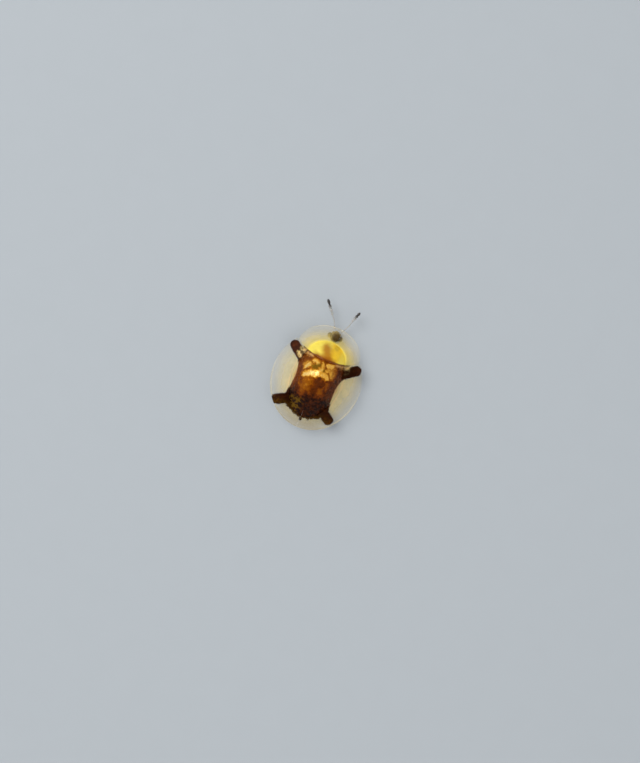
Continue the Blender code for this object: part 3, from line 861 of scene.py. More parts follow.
def add_ball(middle, radii, segments, rings):
    """A stretched ball with its radii ahead, across and up."""
    clear_selection()
    bpy.ops.mesh.primitive_uv_sphere_add(segments=segments, ring_count=rings, radius=1.0)
    ball = bpy.context.object
    size = Matrix.Diagonal((radii[1], radii[0], radii[2], 1.0))
    ball.data.transform(Matrix.Translation(place(*middle)) @ size)
    return ball


def choose_faces(piece, wanted):
    """Opens a piece in edit mode with only the faces selected that wanted says yes to."""
    edit_all(piece)
    bpy.ops.mesh.select_all(action="DESELECT")
    bpy.ops.mesh.select_mode(type="FACE")
    shape = bmesh.from_edit_mesh(piece.data)
    for face in shape.faces:
        face.select_set(wanted(face.calc_center_median(), face.normal))
    bmesh.update_edit_mesh(piece.data)


def inset_faces(piece, wanted, steps):
    """Insets the wanted faces by each thickness and depth in turn, then rounds the piece off."""
    choose_faces(piece, wanted)
    for thickness, depth in steps:
        bpy.ops.mesh.inset(thickness=thickness, depth=depth)
    bpy.ops.mesh.select_mode(type="VERT")
    bpy.ops.object.mode_set(mode="OBJECT")
    round_off(piece)


def scatter(shape, spots):
    """One mesh with a copy of a small shape at each spot: its point, its way up and its size."""
    cloud = bpy.data.meshes.new("spots")
    cloud.from_pydata([point for point, _, _ in spots], [], [])
    turns = [way.to_track_quat("Z", "Y").to_euler() for _, way, _ in spots]
    turn = cloud.attributes.new("turn", "FLOAT_VECTOR", "POINT")
    turn.data.foreach_set("vector", [angle for turn_of in turns for angle in turn_of])
    size = cloud.attributes.new("size", "FLOAT", "POINT")
    size.data.foreach_set("value", [each for _, _, each in spots])
    many = bpy.data.objects.new("spots", cloud)
    bpy.context.scene.collection.objects.link(many)
    apply_nodes(many, copies_tree(shape))
    bpy.data.objects.remove(shape)
    return many


def new_tree(name):
    """An empty tree of geometry nodes, with its way in and its way out."""
    tree = bpy.data.node_groups.new(name, "GeometryNodeTree")
    for direction in ("INPUT", "OUTPUT"):
        tree.interface.new_socket("Geometry", in_out=direction, socket_type="NodeSocketGeometry")
    return tree, tree.nodes.new("NodeGroupInput"), tree.nodes.new("NodeGroupOutput")


def copies_tree(shape):
    """Geometry nodes that set a copy of a shape on every point and make them real."""
    tree, source, target = new_tree("copies")
    original = tree.nodes.new("GeometryNodeObjectInfo")
    original.inputs["Object"].default_value = shape
    instances = tree.nodes.new("GeometryNodeInstanceOnPoints")
    for name, kind, socket in (("turn", "FLOAT_VECTOR", "Rotation"), ("size", "FLOAT", "Scale")):
        stored = tree.nodes.new("GeometryNodeInputNamedAttribute")
        stored.data_type = kind
        stored.inputs["Name"].default_value = name
        tree.links.new(stored.outputs["Attribute"], instances.inputs[socket])
    real = tree.nodes.new("GeometryNodeRealizeInstances")
    tree.links.new(source.outputs[0], instances.inputs["Points"])
    tree.links.new(original.outputs["Geometry"], instances.inputs["Instance"])
    tree.links.new(instances.outputs["Instances"], real.inputs["Geometry"])
    tree.links.new(real.outputs["Geometry"], target.inputs[0])
    return tree


def facets_tree():
    """Geometry nodes that turn every corner of a ball into a face, six-sided for nearly all."""
    tree, source, target = new_tree("facets")
    dual = tree.nodes.new("GeometryNodeDualMesh")
    tree.links.new(source.outputs[0], dual.inputs[0])
    tree.links.new(dual.outputs[0], target.inputs[0])
    return tree


def apply_nodes(piece, tree):
    """Runs a tree of geometry nodes on a piece, once and for good."""
    pick(piece)
    modifier = piece.modifiers.new("nodes", "NODES")
    modifier.node_group = tree
    bpy.ops.object.modifier_apply(modifier="nodes")
    bpy.data.node_groups.remove(tree)


def shows_its_colour(face):
    """Whether a face of the shell looks up or is a side wall of the dark middle or of a bar."""
    forward, right = ANTENNA_REACH / 2 - face.center.y / MM, -face.center.x / MM
    in_middle = abs(right) < dark_reach(forward) and DARK_REAR < forward < PRONOTUM.middle
    is_wall = abs(face.normal.z) < FACES_UP
    return face.normal.z > FACES_UP or is_wall and (in_middle or bars_share(forward, right) < 1.1)


def finish_piece(piece, name, material, slot, replaced=(), underside=None):
    """Brings a finished piece into the frame, in metres, with its finish and what it stands for."""
    pick(piece)
    piece.name = piece.data.name = name
    piece.location = (0.0, ANTENNA_REACH / 2 * MM, 0.0)
    piece.scale = (MM, MM, MM)
    bpy.ops.object.transform_apply(location=True, rotation=True, scale=True)
    bpy.ops.object.shade_smooth_by_angle(angle=SMOOTH_UP_TO)
    piece.data.materials.clear()
    piece.data.materials.append(material)
    if underside:
        piece.data.materials.append(underside)
        for face in piece.data.polygons:
            face.material_index = int(not shows_its_colour(face))
    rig.ride(piece, "root")
    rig.slot(piece, slot)
    if replaced:
        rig.replaces(piece, *replaced)


# Finishes
class Paint:
    """A material in the making, with the body's places in millimetres for its patterns."""

    def __init__(self, name):
        self.material = bpy.data.materials.new(name)
        self.material.use_nodes = True
        self.tree = self.material.node_tree
        self.shader = self.tree.nodes["Principled BSDF"]
        metres = self.add("ShaderNodeTexCoord").outputs["Object"]
        self.place = self.vector("MULTIPLY", {0: metres, 1: (1 / MM, 1 / MM, 1 / MM)})
        parts = self.add("ShaderNodeSeparateXYZ", {}, {0: self.place}).outputs
        self.right = 0 - Field(self, parts["X"])
        self.forward = ANTENNA_REACH / 2 - Field(self, parts["Y"])
        self.up = Field(self, parts["Z"])

    def add(self, kind, settings=None, sockets=None):
        """A new node with its settings, then the values or links of its sockets."""
        node = self.tree.nodes.new(kind)
        for name, value in (settings or {}).items():
            setattr(node, name, value)
        for name, value in (sockets or {}).items():
            self.feed(node.inputs[name], value)
        return node

    def feed(self, socket, value):
        if isinstance(value, Field):
            value = value.socket
        if isinstance(value, bpy.types.NodeSocket):
            self.tree.links.new(value, socket)
        else:
            socket.default_value = value

    def vector(self, operation, sockets):
        """A sum with a place or a colour, whose three parts are worked out together."""
        return self.add("ShaderNodeVectorMath", {"operation": operation}, sockets).outputs[0]

    def noise(self, scale, detail=3.0, roughness=0.5, stretch=None):
        """Soft cloudy noise round 0.5, with that many clouds to a millimetre."""
        where = self.vector("MULTIPLY", {0: self.place, 1: stretch}) if stretch else self.place
        sockets = {"Vector": where, "Scale": scale, "Detail": detail, "Roughness": roughness}
        return Field(self, self.add("ShaderNodeTexNoise", {}, sockets).outputs[0])

    def cells(self, scale, feature="F1", randomness=1.0, warp=0.0):
        """Distance to the nearest cell's middle, or to its wall."""
        where = self.place
        if warp:
            cloudy = self.add("ShaderNodeTexNoise", {}, {"Vector": where, "Scale": scale * 0.7})
            swirl = self.vector("SCALE", {0: cloudy.outputs["Color"], "Scale": warp})
            where = self.vector("ADD", {0: where, 1: swirl})
        sockets = {"Vector": where, "Scale": scale, "Randomness": randomness}
        node = self.add("ShaderNodeTexVoronoi", {"feature": feature}, sockets)
        return Field(self, node.outputs["Distance"])

    def blend(self, first, second, share):
        """The first colour where share is 0 and the second where it is 1."""
        first, second = (self.full(value) for value in (first, second))
        node = self.add("ShaderNodeMix", {"data_type": "RGBA"}, {0: share, 6: first, 7: second})
        return node.outputs[2]

    def ramp(self, share, tones):
        """A run of tones from the first at 0 to the last at 1."""
        node = self.add("ShaderNodeValToRGB", {}, {"Fac": share})
        stops, last = node.color_ramp.elements, len(tones) - 1
        for index, tone in enumerate(tones):
            stop = stops[0] if index == 0 else stops[-1] if index == last else stops.new(index / last)
            stop.color = self.full(tone)
        return node.outputs["Color"]

    def full(self, value):
        """A colour setting with its alpha; a socket stays as it is."""
        return value if isinstance(value, bpy.types.NodeSocket) else (*value, 1.0)

    def bump(self, height, depth, under=None):
        """A relief of that depth in millimetres."""
        sockets = {"Height": height, "Distance": depth * MM, "Strength": 1.0}
        if under is not None:
            sockets["Normal"] = under
        return self.add("ShaderNodeBump", {}, sockets).outputs[0]

    def set(self, **values):
        """Sets the shader's own sockets, named with underscores."""
        for name, value in values.items():
            title = " ".join(word if word == "IOR" else word.capitalize() for word in name.split("_"))
            self.feed(self.shader.inputs[title], value)
        return self.material


def pitted(paint, density, reach, depth, randomness=1.0):
    """A relief of small round pits, that many to a millimetre."""
    return paint.bump(smooth(paint.cells(density, "F1", randomness) / reach), depth)


def cell_walls(paint):
    """1 along the walls of the fine cells in the clear horn, 0 inside them."""
    return smooth(1.0 - paint.cells(3.2, "DISTANCE_TO_EDGE", warp=0.1) / 0.045)


def clouds(paint):
    """Fine and coarser clouds, the same ones on the wing cases and on their margins."""
    return [paint.noise(density, detail=4.0, roughness=0.6) for density in (5.0, 2.6)]


def joint_shade(paint):
    """1 along the line where collar and wing cases meet, broadest at its middle."""
    from_joint = abs(paint.forward - joint_line(paint.right))
    width = 0.05 + 0.13 * smooth(2.1 - abs(paint.right) / 0.8)
    return smooth(1.5 - from_joint / width)


def paint_collar(colours):
    """Bright gold on both sides of an amber middle, under a clear coat: the amber middle is a painted dark reflection,
    and the deeper gold on the right is painted shade.
    """
    paint = Paint("collar_gold")
    forward, right = paint.forward, paint.right
    wander = (paint.noise(1.6) - 0.5) * 1.3
    grain = paint.noise(9.0, detail=4.0, roughness=0.65)
    # Painted dark reflection along the plate's middle
    middle = away_from_line(forward, right, *REFLECTED_DARK_MIDDLE) / 0.48
    middle = smooth((2.0 - middle + wander * 0.8) / 1.8)
    corner = smooth(1.5 - away_from(forward, right, OLIVE_CORNER) / 0.3 + wander * 0.4)
    rear = smooth((1.6 - (forward - joint_line(right)) / 0.42 + wander * 0.6) / 1.3)
    rear = rear * smooth(1.75 - abs(right + 0.2) / 0.95)
    # Painted light and shade: bright gold on the lit left side, deeper gold on the shaded right side, bright gold
    # again near the right edge
    base = paint.blend(colours.gold, colours.shaded_right_gold, soft_rise(right, -0.2, 0.7))
    base = paint.blend(base, colours.gold, soft_rise(right, 1.2, 0.5) * 0.7)
    base = paint.blend(base, colours.olive, corner * 0.3)
    base = paint.blend(base, colours.amber_gold, middle * 0.92)
    base = paint.blend(base, colours.ember, most(rear * 0.85, smooth(wander * 1.6 - 0.3) * 0.3))
    base = paint.blend(base, colours.amber_gold, soft_rise(grain, 0.5, 0.3) * 0.2)
    base = paint.blend(base, colours.bronze, joint_shade(paint) * 0.9)
    relief = pitted(paint, 5.5, 0.3, 0.008, randomness=0.85)
    relief = paint.bump(paint.noise(1.6), 0.14, relief)
    return paint.set(
        Base_Color=base,
        Metallic=0.12,
        Roughness=0.24 + grain * 0.14,
        Specular_IOR_Level=0.2,
        Normal=relief,
        Coat_Weight=0.1,
        Coat_Roughness=0.06,
    )


def pit_rows(paint):
    """0 in the middle of each pit of the rows along a wing case, 1 between them."""
    row = abs(paint.right) / PIT_ROW
    along = paint.forward / PIT_STEP + (row - row % 1.0) * PIT_SHIFT
    across_pit, along_pit = row % 1.0 - 0.5, along % 1.0 - 0.5
    return smooth(root(across_pit * across_pit + along_pit * along_pit) / 0.3)


def pale_front(paint, marble, fine):
    """1 on the pale strips behind the joint line and in the windows of the front bars."""
    wander = (marble - 0.5) * 2.4 + (fine - 0.5) * 1.2
    away = abs(paint.right)
    strip = away_from_line(paint.forward, away, *PALE_STRIP) / mix(0.22, 0.38, smooth(away - 1.6))
    window = away_from_line(paint.forward, away, *WINDOW) / 0.25 + smooth(paint.right) * 0.85
    share = smooth((2.1 - least(strip, window) + wander) / 2.4)
    return share * share * share * mix(0.9, 0.7, smooth(paint.right))


def peach(paint, colours, marble):
    """Cloudy peach of the pale parts in front."""
    return paint.blend(colours.fringe, colours.rich_gold, soft_rise(marble, 0.42, 0.2) * 0.55)


def paint_wing_case(colours):
    """Spots of gold in front, then bronze, dark brown round them, and clear sides at the waist."""
    paint = Paint("gilded_wing_case")
    forward, right, away = paint.forward, paint.right, abs(paint.right)
    # Painted light: the left side, where the light falls, gets brighter levels and a narrower dark side band
    left = smooth(0.5 - right)
    wander = (paint.noise(1.9) - 0.5) * 0.5
    fine, marble = clouds(paint)
    coarse = paint.noise(1.5, roughness=0.6)
    reach = dark_reach(forward)
    ahead = forward + (marble - 0.5) * 0.9
    across = right + (coarse - 0.5) * 0.7 + (fine - 0.5) * 0.3

    front = smooth((forward - GOLD_REAR + GOLD_SLANT * most(0.0, 0 - right) + wander * 0.5) / 0.2 + 0.5)
    side = smooth((away - reach + 0.95 - left * 0.37 + wander * 0.6) / 0.35 + 0.5)
    rear = smooth((-1.9 - forward + wander * 2.0) / 1.2 + 0.5)
    clear = smooth((away - reach + wander * 0.25) / 0.14 + 0.5)

    mottle = (coarse - 0.5) * 0.4 + (marble - 0.5) * 0.7
    # The left terms below add painted light
    level = mix(0.18 + left * 0.08, 0.39, front) + mottle
    level = mix(level, 0.13 + left * 0.11 + (marble - 0.5) * 0.3, side)
    level = mix(level, 0.02 + (marble - 0.45) * 0.3, rear)
    level = 1 - (1 - level) * (1 - glow(ahead, across)) + mottle * 0.15
    level = mix(level, 0.3, shade(ahead, across, CREASES) * 0.75)
    level = mix(level, 0.12, shade(ahead, across, HOLLOWS) * 0.8)
    level = mix(level, 0.26 + mottle * 0.3, joint_shade(paint) * 0.9)
    tones = (colours.deep_brown, colours.bronze, colours.ember, colours.rich_gold, colours.pale_gold)
    base = paint.ramp(level, tones)
    # Painted shade: bright spots on the right side turn to a deeper, richer gold
    right_side_shade = soft_rise(right, 0.2, 0.4) * soft_rise(level, 0.5, 0.3)
    base = paint.blend(base, colours.rich_gold, right_side_shade * 0.6)
    base = paint.blend(base, colours.olive, shade(ahead, across, SHADES) * 0.8)
    flecks = smooth((-2.6 - forward) / 0.5) * smooth(0.2 - (right + 0.3) / 0.8)
    base = paint.blend(base, colours.olive, flecks * soft_rise(marble, 0.46, 0.12) * 0.6)
    edge = soft_rise(share_out(ELYTRA_DISC, forward, right), 0.86, 0.14)
    base = paint.blend(base, paint.blend(colours.waist, colours.margin, edge), clear)
    base = paint.blend(base, peach(paint, colours, marble), pale_front(paint, marble, fine))

    relief = paint.bump(pit_rows(paint), 0.018)
    relief = paint.bump(paint.noise(1.9, roughness=0.55), 0.16, relief)
    return paint.set(
        Base_Color=base,
        Metallic=0.45 * (1 - clear),
        Roughness=0.2 + fine * 0.12,
        Specular_IOR_Level=0.05,
        Alpha=1.0 - clear * mix(0.12, 0.45, edge),
        Normal=relief,
        Coat_Weight=0.04,
        Coat_Roughness=0.05,
    )


def clear_horn(paint, colours):
    """What both clear margins share: tint, opacity, a denser rim and relief of the fine cells."""
    wall = cell_walls(paint)
    cloud = paint.noise(0.7)
    out = share_out(SHIELD, paint.forward, paint.right)
    fade = 1 - soft_rise(out, 0.66, 0.34) * 0.84
    rim = soft_rise(out, 0.975, 0.012)
    opacity = (0.41 + wall * 0.08 + (cloud - 0.5) * 0.45) * fade
    tint = paint.blend(colours.margin, colours.fringe, soft_rise(cloud, 0.4, 0.4) * 0.2)
    return tint, opacity, rim * 0.16, paint.bump(wall, 0.006)


def paint_collar_margin(colours):
    """Clear horn, clearest above the head, golden next to the plate."""
    paint = Paint("clear_collar_margin")
    tint, opacity, rim, relief = clear_horn(paint, colours)
    from_disc = share_out(PRONOTUM_DISC, paint.forward, paint.right)
    near = soft_fall(from_disc, 1.0, 0.8)
    at_disc = soft_fall(from_disc, 1.0, 0.14)
    above_head = smooth(1.9 - away_from(paint.forward, paint.right, ABOVE_HEAD) / 0.45)
    halo = paint.blend(colours.gold, colours.olive, 0.4 - at_disc * 0.35)
    return paint.set(
        Base_Color=paint.blend(tint, halo, most(near * 0.75, at_disc)),
        Alpha=most(0.01, (opacity + near * 0.26) * (1 - above_head) + at_disc * 0.18 + rim),
        Roughness=0.2,
        Specular_IOR_Level=0.08,
        Normal=relief,
        Coat_Weight=0.05,
        Coat_Roughness=0.08,
    )


def paint_wing_margin(colours):
    """Clear horn with fine cells, four dark bars, and the rear of the dark middle."""
    paint = Paint("clear_wing_margin")
    forward, right, away = paint.forward, paint.right, abs(paint.right)
    tint, opacity, rim, relief = clear_horn(paint, colours)
    ragged = (paint.noise(2.4) - 0.5) * 0.4
    fine, marble = clouds(paint)
    tail = smooth(-3.4 - forward)
    inside = least(dark_reach(forward) - away, forward - DARK_REAR - 0.18 * right * right)
    inside = inside + (marble - 0.5) * tail
    spur = 0.13 - away_from_line(forward, right, *SPUR)
    inside = most(most(inside, spur), (1 - bars_share(forward, right)) * BAR_HALF_WIDTH)
    pale = pale_front(paint, marble, fine)
    inside = (inside + ragged * 0.5) / 0.16
    dark = smooth(inside + 0.4) * (1 - pale * 0.93)
    fringe = soft_fall(share_out(ELYTRA_DISC, forward, right), 1.0, 0.14)
    fringe = fringe * soft_rise(forward, -3.2, 0.6)
    brown = paint.blend(colours.bar, colours.bronze, soft_rise(marble, 0.48, 0.2) * 0.13)
    brown = paint.blend(brown, colours.olive, soft_rise(fine, 0.45, 0.1) * tail * 0.22)
    # Painted shade over the tail of the margin: it is made olive and less clear
    tail_shade = smooth((-4.0 - forward) / 1.6)
    base = paint.blend(paint.blend(tint, colours.olive, tail_shade * 0.6), colours.fringe, fringe * 0.5)
    base = paint.blend(base, peach(paint, colours, marble), pale)
    base = paint.blend(base, brown, smooth(inside + 0.85) * (1 - pale * 0.93))
    return paint.set(
        Base_Color=base,
        Alpha=least(1.0, opacity + rim + tail_shade * 0.25 + most(fringe * 0.2, pale * 0.85) + dark),
        Metallic=dark * 0.45,
        Roughness=0.2 + dark * 0.06,
        Specular_IOR_Level=0.03,
        Normal=paint.bump(paint.noise(2.6), 0.05, relief),
        Coat_Weight=0.02,
        Coat_Roughness=0.1,
    )


def paint_clear_underside(colours):
    """Lower face of the clear margins, barely seen, since their colour lies in the upper face."""
    paint = Paint("clear_underside")
    cloud = paint.noise(0.9)
    return paint.set(
        Base_Color=paint.blend(colours.margin, colours.fringe, cloud * 0.4),
        Alpha=0.015 + cloud * 0.03,
        Roughness=0.2,
        Specular_IOR_Level=0.08,
        Normal=paint.bump(cell_walls(paint), 0.006),
    )


def paint_horn(name, tone, deep):
    """Amber horn of legs and mouthparts, cloudy, finely pitted and a little translucent."""
    paint = Paint(name)
    cloud = paint.noise(1.4)
    grain = paint.noise(14.0)
    base = paint.blend(tone, deep, soft_rise(cloud, 0.42, 0.35) * 0.45)
    base = paint.blend(base, deep, soft_rise(grain, 0.55, 0.2) * 0.3)
    return paint.set(
        Base_Color=base,
        Roughness=0.3 + grain * 0.2,
        Normal=pitted(paint, 9.0, 0.32, 0.008),
        Subsurface_Weight=0.12,
        Subsurface_Scale=0.0002,
        Coat_Weight=0.25,
        Coat_Roughness=0.15,
    )


def paint_head(colours):
    """Amber face with a dark patch over its top, strongest on the right: the head's own dark top, partly painted shade
    on its right.
    """
    paint = Paint("head_horn")
    forward, right, up = paint.forward, paint.right, paint.up
    cloud = (paint.noise(3.0) - 0.5) * 0.5
    # The head's dark top, set towards the right as painted shade
    patch = smooth(1.6 - away_from(forward, right, HEAD_TOP_AND_SHADE) / 0.52 + cloud) * soft_rise(up, 0.7, 0.3)
    grain = paint.noise(14.0)
    base = paint.blend(colours.face, colours.vertex, patch)
    base = paint.blend(base, colours.trunk, soft_rise(grain, 0.5, 0.3) * 0.25)
    return paint.set(
        Base_Color=base,
        Roughness=0.3 + grain * 0.2,
        Normal=pitted(paint, 8.0, 0.35, 0.012),
        Specular_IOR_Level=0.1,
        Subsurface_Weight=0.08,
        Subsurface_Scale=0.0002,
        Coat_Weight=0.05,
        Coat_Roughness=0.1,
    )


def paint_feeler(colours):
    """Straw-coloured shaft that ends in a dark, velvety club."""
    paint = Paint("feeler_horn")
    cloud = (paint.noise(4.0, detail=2.0) - 0.5) * 0.2
    club = smooth((paint.forward - CLUB_FROM + cloud) / 0.5 + 0.5)
    grain = paint.noise(16.0)
    base = paint.blend(colours.straw, colours.club, club)
    base = paint.blend(base, colours.trunk, soft_rise(grain, 0.5, 0.3) * 0.3)
    return paint.set(
        Base_Color=base,
        Roughness=0.32 + club * 0.3 + grain * 0.1,
        Normal=paint.bump(paint.cells(16.0), 0.006),
        Subsurface_Weight=0.1,
        Subsurface_Scale=0.0001,
    )


def paint_trunk(colours):
    """Dark, finely pitted horn of the underside, paler towards the flanks."""
    paint = Paint("trunk_horn")
    grain = paint.noise(8.0, detail=4.0, roughness=0.6)
    flank = soft_rise(abs(paint.right), 1.3, 0.9)
    base = paint.blend(colours.trunk, colours.bronze, flank * 0.5)
    base = paint.blend(base, colours.deep_brown, soft_rise(grain, 0.45, 0.3) * 0.5)
    return paint.set(
        Base_Color=base,
        Roughness=0.26 + grain * 0.25,
        Normal=pitted(paint, 6.0, 0.25, 0.015),
        Coat_Weight=0.3,
        Coat_Roughness=0.12,
    )


def paint_eye(colours):
    """Near-black facets with a faint brown sheen."""
    paint = Paint("eye_facets")
    sheen = paint.noise(3.0, detail=2.0)
    base = paint.blend(colours.eye, colours.vertex, soft_rise(sheen, 0.45, 0.3) * 0.4)
    roughness = 0.16 + sheen * 0.08
    return paint.set(Base_Color=base, Roughness=roughness, Specular_IOR_Level=0.25, Coat_Weight=0.1)


def paint_hair(colours):
    """Pale hairs, from amber to straw."""
    paint = Paint("pale_hair")
    tone = paint.noise(20.0, detail=1.0)
    base = paint.blend(colours.amber, colours.straw, soft_rise(tone, 0.3, 0.4))
    return paint.set(Base_Color=base, Roughness=0.5, Sheen_Weight=0.3)


def paint_skin(colours):
    """Soft skin between hard plates."""
    paint = Paint("joint_skin")
    fold = paint.noise(5.0, stretch=(1.0, 3.0, 1.0))
    base = paint.blend(colours.vertex, colours.trunk, soft_rise(fold, 0.4, 0.3))
    return paint.set(Base_Color=base, Roughness=0.55, Normal=paint.bump(fold, 0.03))


def paint_floor(tone):
    """Matt pale board with a barely seen grain."""
    paint = Paint("pale_board")
    grain = paint.noise(0.35, detail=4.0)
    darker = tuple(0.975 * each for each in tone)
    base = paint.blend(darker, tone, grain)
    return paint.set(Base_Color=base, Roughness=0.85, Normal=paint.bump(paint.noise(2.0), 0.004))


# Pieces of the shield
def cover_height(shell):
    """Height of the wing cases, with their wandering ridges."""
    ridge = mm(shell.ridge)

    def height(forward, right):
        relief = ridge * smooth(1.6 - ridge_distance(forward, right) / RIDGE_HALF_WIDTH)
        return elytra_height(forward, right) + relief

    return height


def rimmed_height(shell, bars):
    """Height of a clear margin, with a bead along its rim and, if bars, the four raised bars."""
    rim = mm(shell.rim)

    def height(forward, right):
        bead = rim * soft_rise(share_out(SHIELD, forward, right), 0.965, 0.02)
        relief = BAR_RELIEF * smooth(1.9 - bars_share(forward, right)) if bars else 0.0
        return margin_height(forward, right) + bead + relief

    return height


def make_wing_case(shell, side):
    """One wing case, from the joint line to its rear end, with its share of the triangle cut out."""
    seam = mm(shell.seam)
    front = joint_edge(-seam)
    first = corner_angle(ELYTRA_DISC, 0.0, front)
    last = math.pi - math.asin(DISC_END / ELYTRA_DISC.half_width)
    base = on_oval(ELYTRA_DISC, first)[0]
    flare = SCUTELLUM_HALF_WIDTH / (front(0) - SCUTELLUM_TIP)

    def spot(u, v):
        edge_forward, edge_right = on_oval(ELYTRA_DISC, mix(first, last, v))
        at_suture = edge_forward + (1 - v) ** 3 * (front(0) - base)
        right = mix(seam + flare * max(0.0, at_suture - SCUTELLUM_TIP), edge_right, u)
        forward = edge_forward + (1 - v) ** 3 * (front(right) - base)
        return forward, right * side

    return add_plate(56, 150, spot, cover_height(shell), lambda u: mm(shell.plate), PLATE_BEVEL)


def margin_thickness(shell):
    """The clear margin thins out from its root to its edge."""
    root_depth, edge_depth = mm(shell.root), mm(shell.edge)
    return lambda u: mix(root_depth, edge_depth, u)


def make_wing_margin(shell, side):
    """The clear margin of one wing case, with its two bars raised."""
    seam = mm(shell.seam)
    front = joint_edge(-seam)
    inner_first = corner_angle(ELYTRA_DISC, -CLOSE, front)
    outer_first = corner_angle(ELYTRA, 0, front)
    last = math.pi - math.asin(seam / ELYTRA.half_width)

    def straight(u, v):
        return between(ELYTRA_DISC, mix(inner_first, last, v), ELYTRA, mix(outer_first, last, v), u)

    def spot(u, v):
        forward, right = straight(u, v)
        first_forward, first_right = straight(u, 0)
        forward += (1 - v) ** 8 * (front(first_right) - first_forward)
        return forward, max(seam, right) * side

    height = rimmed_height(shell, bars=True)
    return add_plate(34, 170, spot, height, margin_thickness(shell), MARGIN_BEVEL)


def make_collar(shell):
    """The golden collar plate, whose rear edge follows the joint line."""
    rear = joint_edge(mm(shell.seam))
    first = corner_angle(PRONOTUM_DISC, 0.0, rear)

    def spot(u, v):
        front, right = on_oval(PRONOTUM_DISC, mix(-first, first, mix(0.01, 0.99, u)))
        return mix(front, rear(right), v), right

    return add_plate(90, 44, spot, pronotum_height, lambda u: mm(shell.plate), PLATE_BEVEL)


def make_collar_margin(shell):
    """The clear margin round the collar plate, which covers the head."""
    rear = joint_edge(mm(shell.seam))
    inner_first = corner_angle(PRONOTUM_DISC, -CLOSE, rear)
    outer_first = corner_angle(PRONOTUM, 0, rear)

    def straight(u, v):
        turn = mix(-1, 1, v)
        return between(PRONOTUM_DISC, turn * inner_first, PRONOTUM, turn * outer_first, u)

    def spot(u, v):
        forward, right = straight(u, v)
        end_forward, end_right = straight(u, round(v))
        return forward + abs(mix(-1, 1, v)) ** 12 * (rear(end_right) - end_forward), right

    height = rimmed_height(shell, bars=False)
    return add_plate(30, 190, spot, height, margin_thickness(shell), MARGIN_BEVEL)


def make_scutellum(shell):
    """The small triangle between the wing cases, domed across and lower towards its tip."""
    front = joint_line(0) - mm(shell.seam)

    def spot(u, v):
        width = mix(SCUTELLUM_HALF_WIDTH, SCUTELLUM_TIP_HALF_WIDTH, v)
        return mix(front, SCUTELLUM_TIP, v), mix(-width, width, u)

    def domed(forward, right):
        share = (front - forward) / (front - SCUTELLUM_TIP)
        across = min(1.0, right / mix(SCUTELLUM_HALF_WIDTH, SCUTELLUM_TIP_HALF_WIDTH, share))
        return elytra_height(forward, right) + 0.05 * (1 - across * across) * (1 - share)

    return add_plate(16, 20, spot, domed, lambda u: mm(shell.plate), TRIANGLE_BEVEL)


# Pieces of the trunk
def groove(distance, width, depth):
    """How much a soft furrow takes off at a distance from its middle line."""
    return depth * math.exp(-((distance / width) ** 2))


def prosternum_floor(forward, right):
    """Belly of the front trunk, with the raised strip that runs back between the front hips."""
    level = SPINE_HEIGHT + FLANK_CURVE * right * right - PROSTERNUM_DROP
    strip = smooth((0.36 - abs(right)) / 0.08)
    edge = groove(abs(right) - 0.3, 0.05, 0.03)
    return level - 0.05 * strip - edge + groove(forward - 3.75, 0.05, 0.05)


def thorax_floor(forward, right):
    """Belly of the thorax, with furrows along its middle, across it and along its flanks."""
    level = SPINE_HEIGHT + FLANK_CURVE * right * right
    middle = groove(right, 0.05, 0.06) * smooth((0.55 - forward) / 0.2)
    across = groove(forward - 0.2 - 0.25 * abs(right), 0.05, 0.06)
    flank = groove(abs(right) - 1.6 + 0.15 * forward, 0.05, 0.06)
    return level + middle + across + flank


def abdomen_floor(forward, right):
    """Overlapping belly rings: each one deepens towards its rear edge and steps up to the next."""
    share = (ABDOMEN_SPAN[1] - forward) / (ABDOMEN_SPAN[1] - ABDOMEN_SPAN[0])
    ring = min(STERNITES - 1e-6, share * STERNITES + 0.12 * right * right * (1 - share)) % 1.0
    step = 0.085 * smooth(ring / 0.8) * (1 - soft_rise(ring, 0.93, 0.07))
    return SPINE_HEIGHT + FLANK_CURVE * right * right + TAIL_TUCK * share * share - step


def make_trunk_block(span, cover, floor, columns, rows):
    """A length of the trunk, as wide as it keeps some thickness under the shield."""

    def half_width(forward):
        def is_thick(right):
            level = SPINE_HEIGHT + FLANK_CURVE * right * right
            return trunk_roof(cover, forward, right) - level > THINNEST

        return furthest(0.0, WIDEST_TRUNK, 16, is_thick)

    widths = {}

    def spot(u, v, level):
        forward = mix(span[1], span[0], v)
        if v not in widths:
            widths[v] = half_width(forward)
        right = mix(-widths[v], widths[v], u)
        height = trunk_roof(cover, forward, right) if level > 0.5 else floor(forward, right)
        return place(forward, right, height)

    return add_block(columns, rows, spot)


def make_hip(leg, side):
    """A rounded hip with a sunken socket where the leg turns."""
    hip, knee = mirrored(leg.hip, side), mirrored(leg.knee, side)
    ball = add_ball((hip[0], hip[1], hip[2] + 0.08), (0.33, 0.42, 0.42), 28, 18)
    middle = place(*hip)
    out = (place(*knee) - middle).normalized()

    def faces_knee(centre, normal):
        return (centre - middle).normalized().dot(out) > 0.86

    inset_faces(ball, faces_knee, ((0.03, 0.0), (0.03, -0.06)))
    return ball


# Pieces of the head
def make_skull():
    """Head capsule: a ball with a flatter brow, a face plate and a furrow down its middle."""
    skull = add_ball(HEAD_MIDDLE, HEAD_RADII, 40, 28)
    ahead, down = Vector((0, -1, 0)), Vector((0, 0, -1))
    middle = place(*HEAD_MIDDLE)

    def on_face(centre, normal):
        way = (centre - middle).normalized()
        return way.dot(ahead) > 0.45 and abs(way.x) < 0.42 and -0.75 < way.dot(down) < 0.72

    inset_faces(skull, on_face, ((0.035, -0.015), (0.03, 0.05)))
    for vertex in skull.data.vertices:
        top = smooth((vertex.co.z - HEAD_MIDDLE[2] - 0.1) / 0.25)
        vertex.co.z -= groove(vertex.co.x, 0.05, 0.035) * top
    return skull


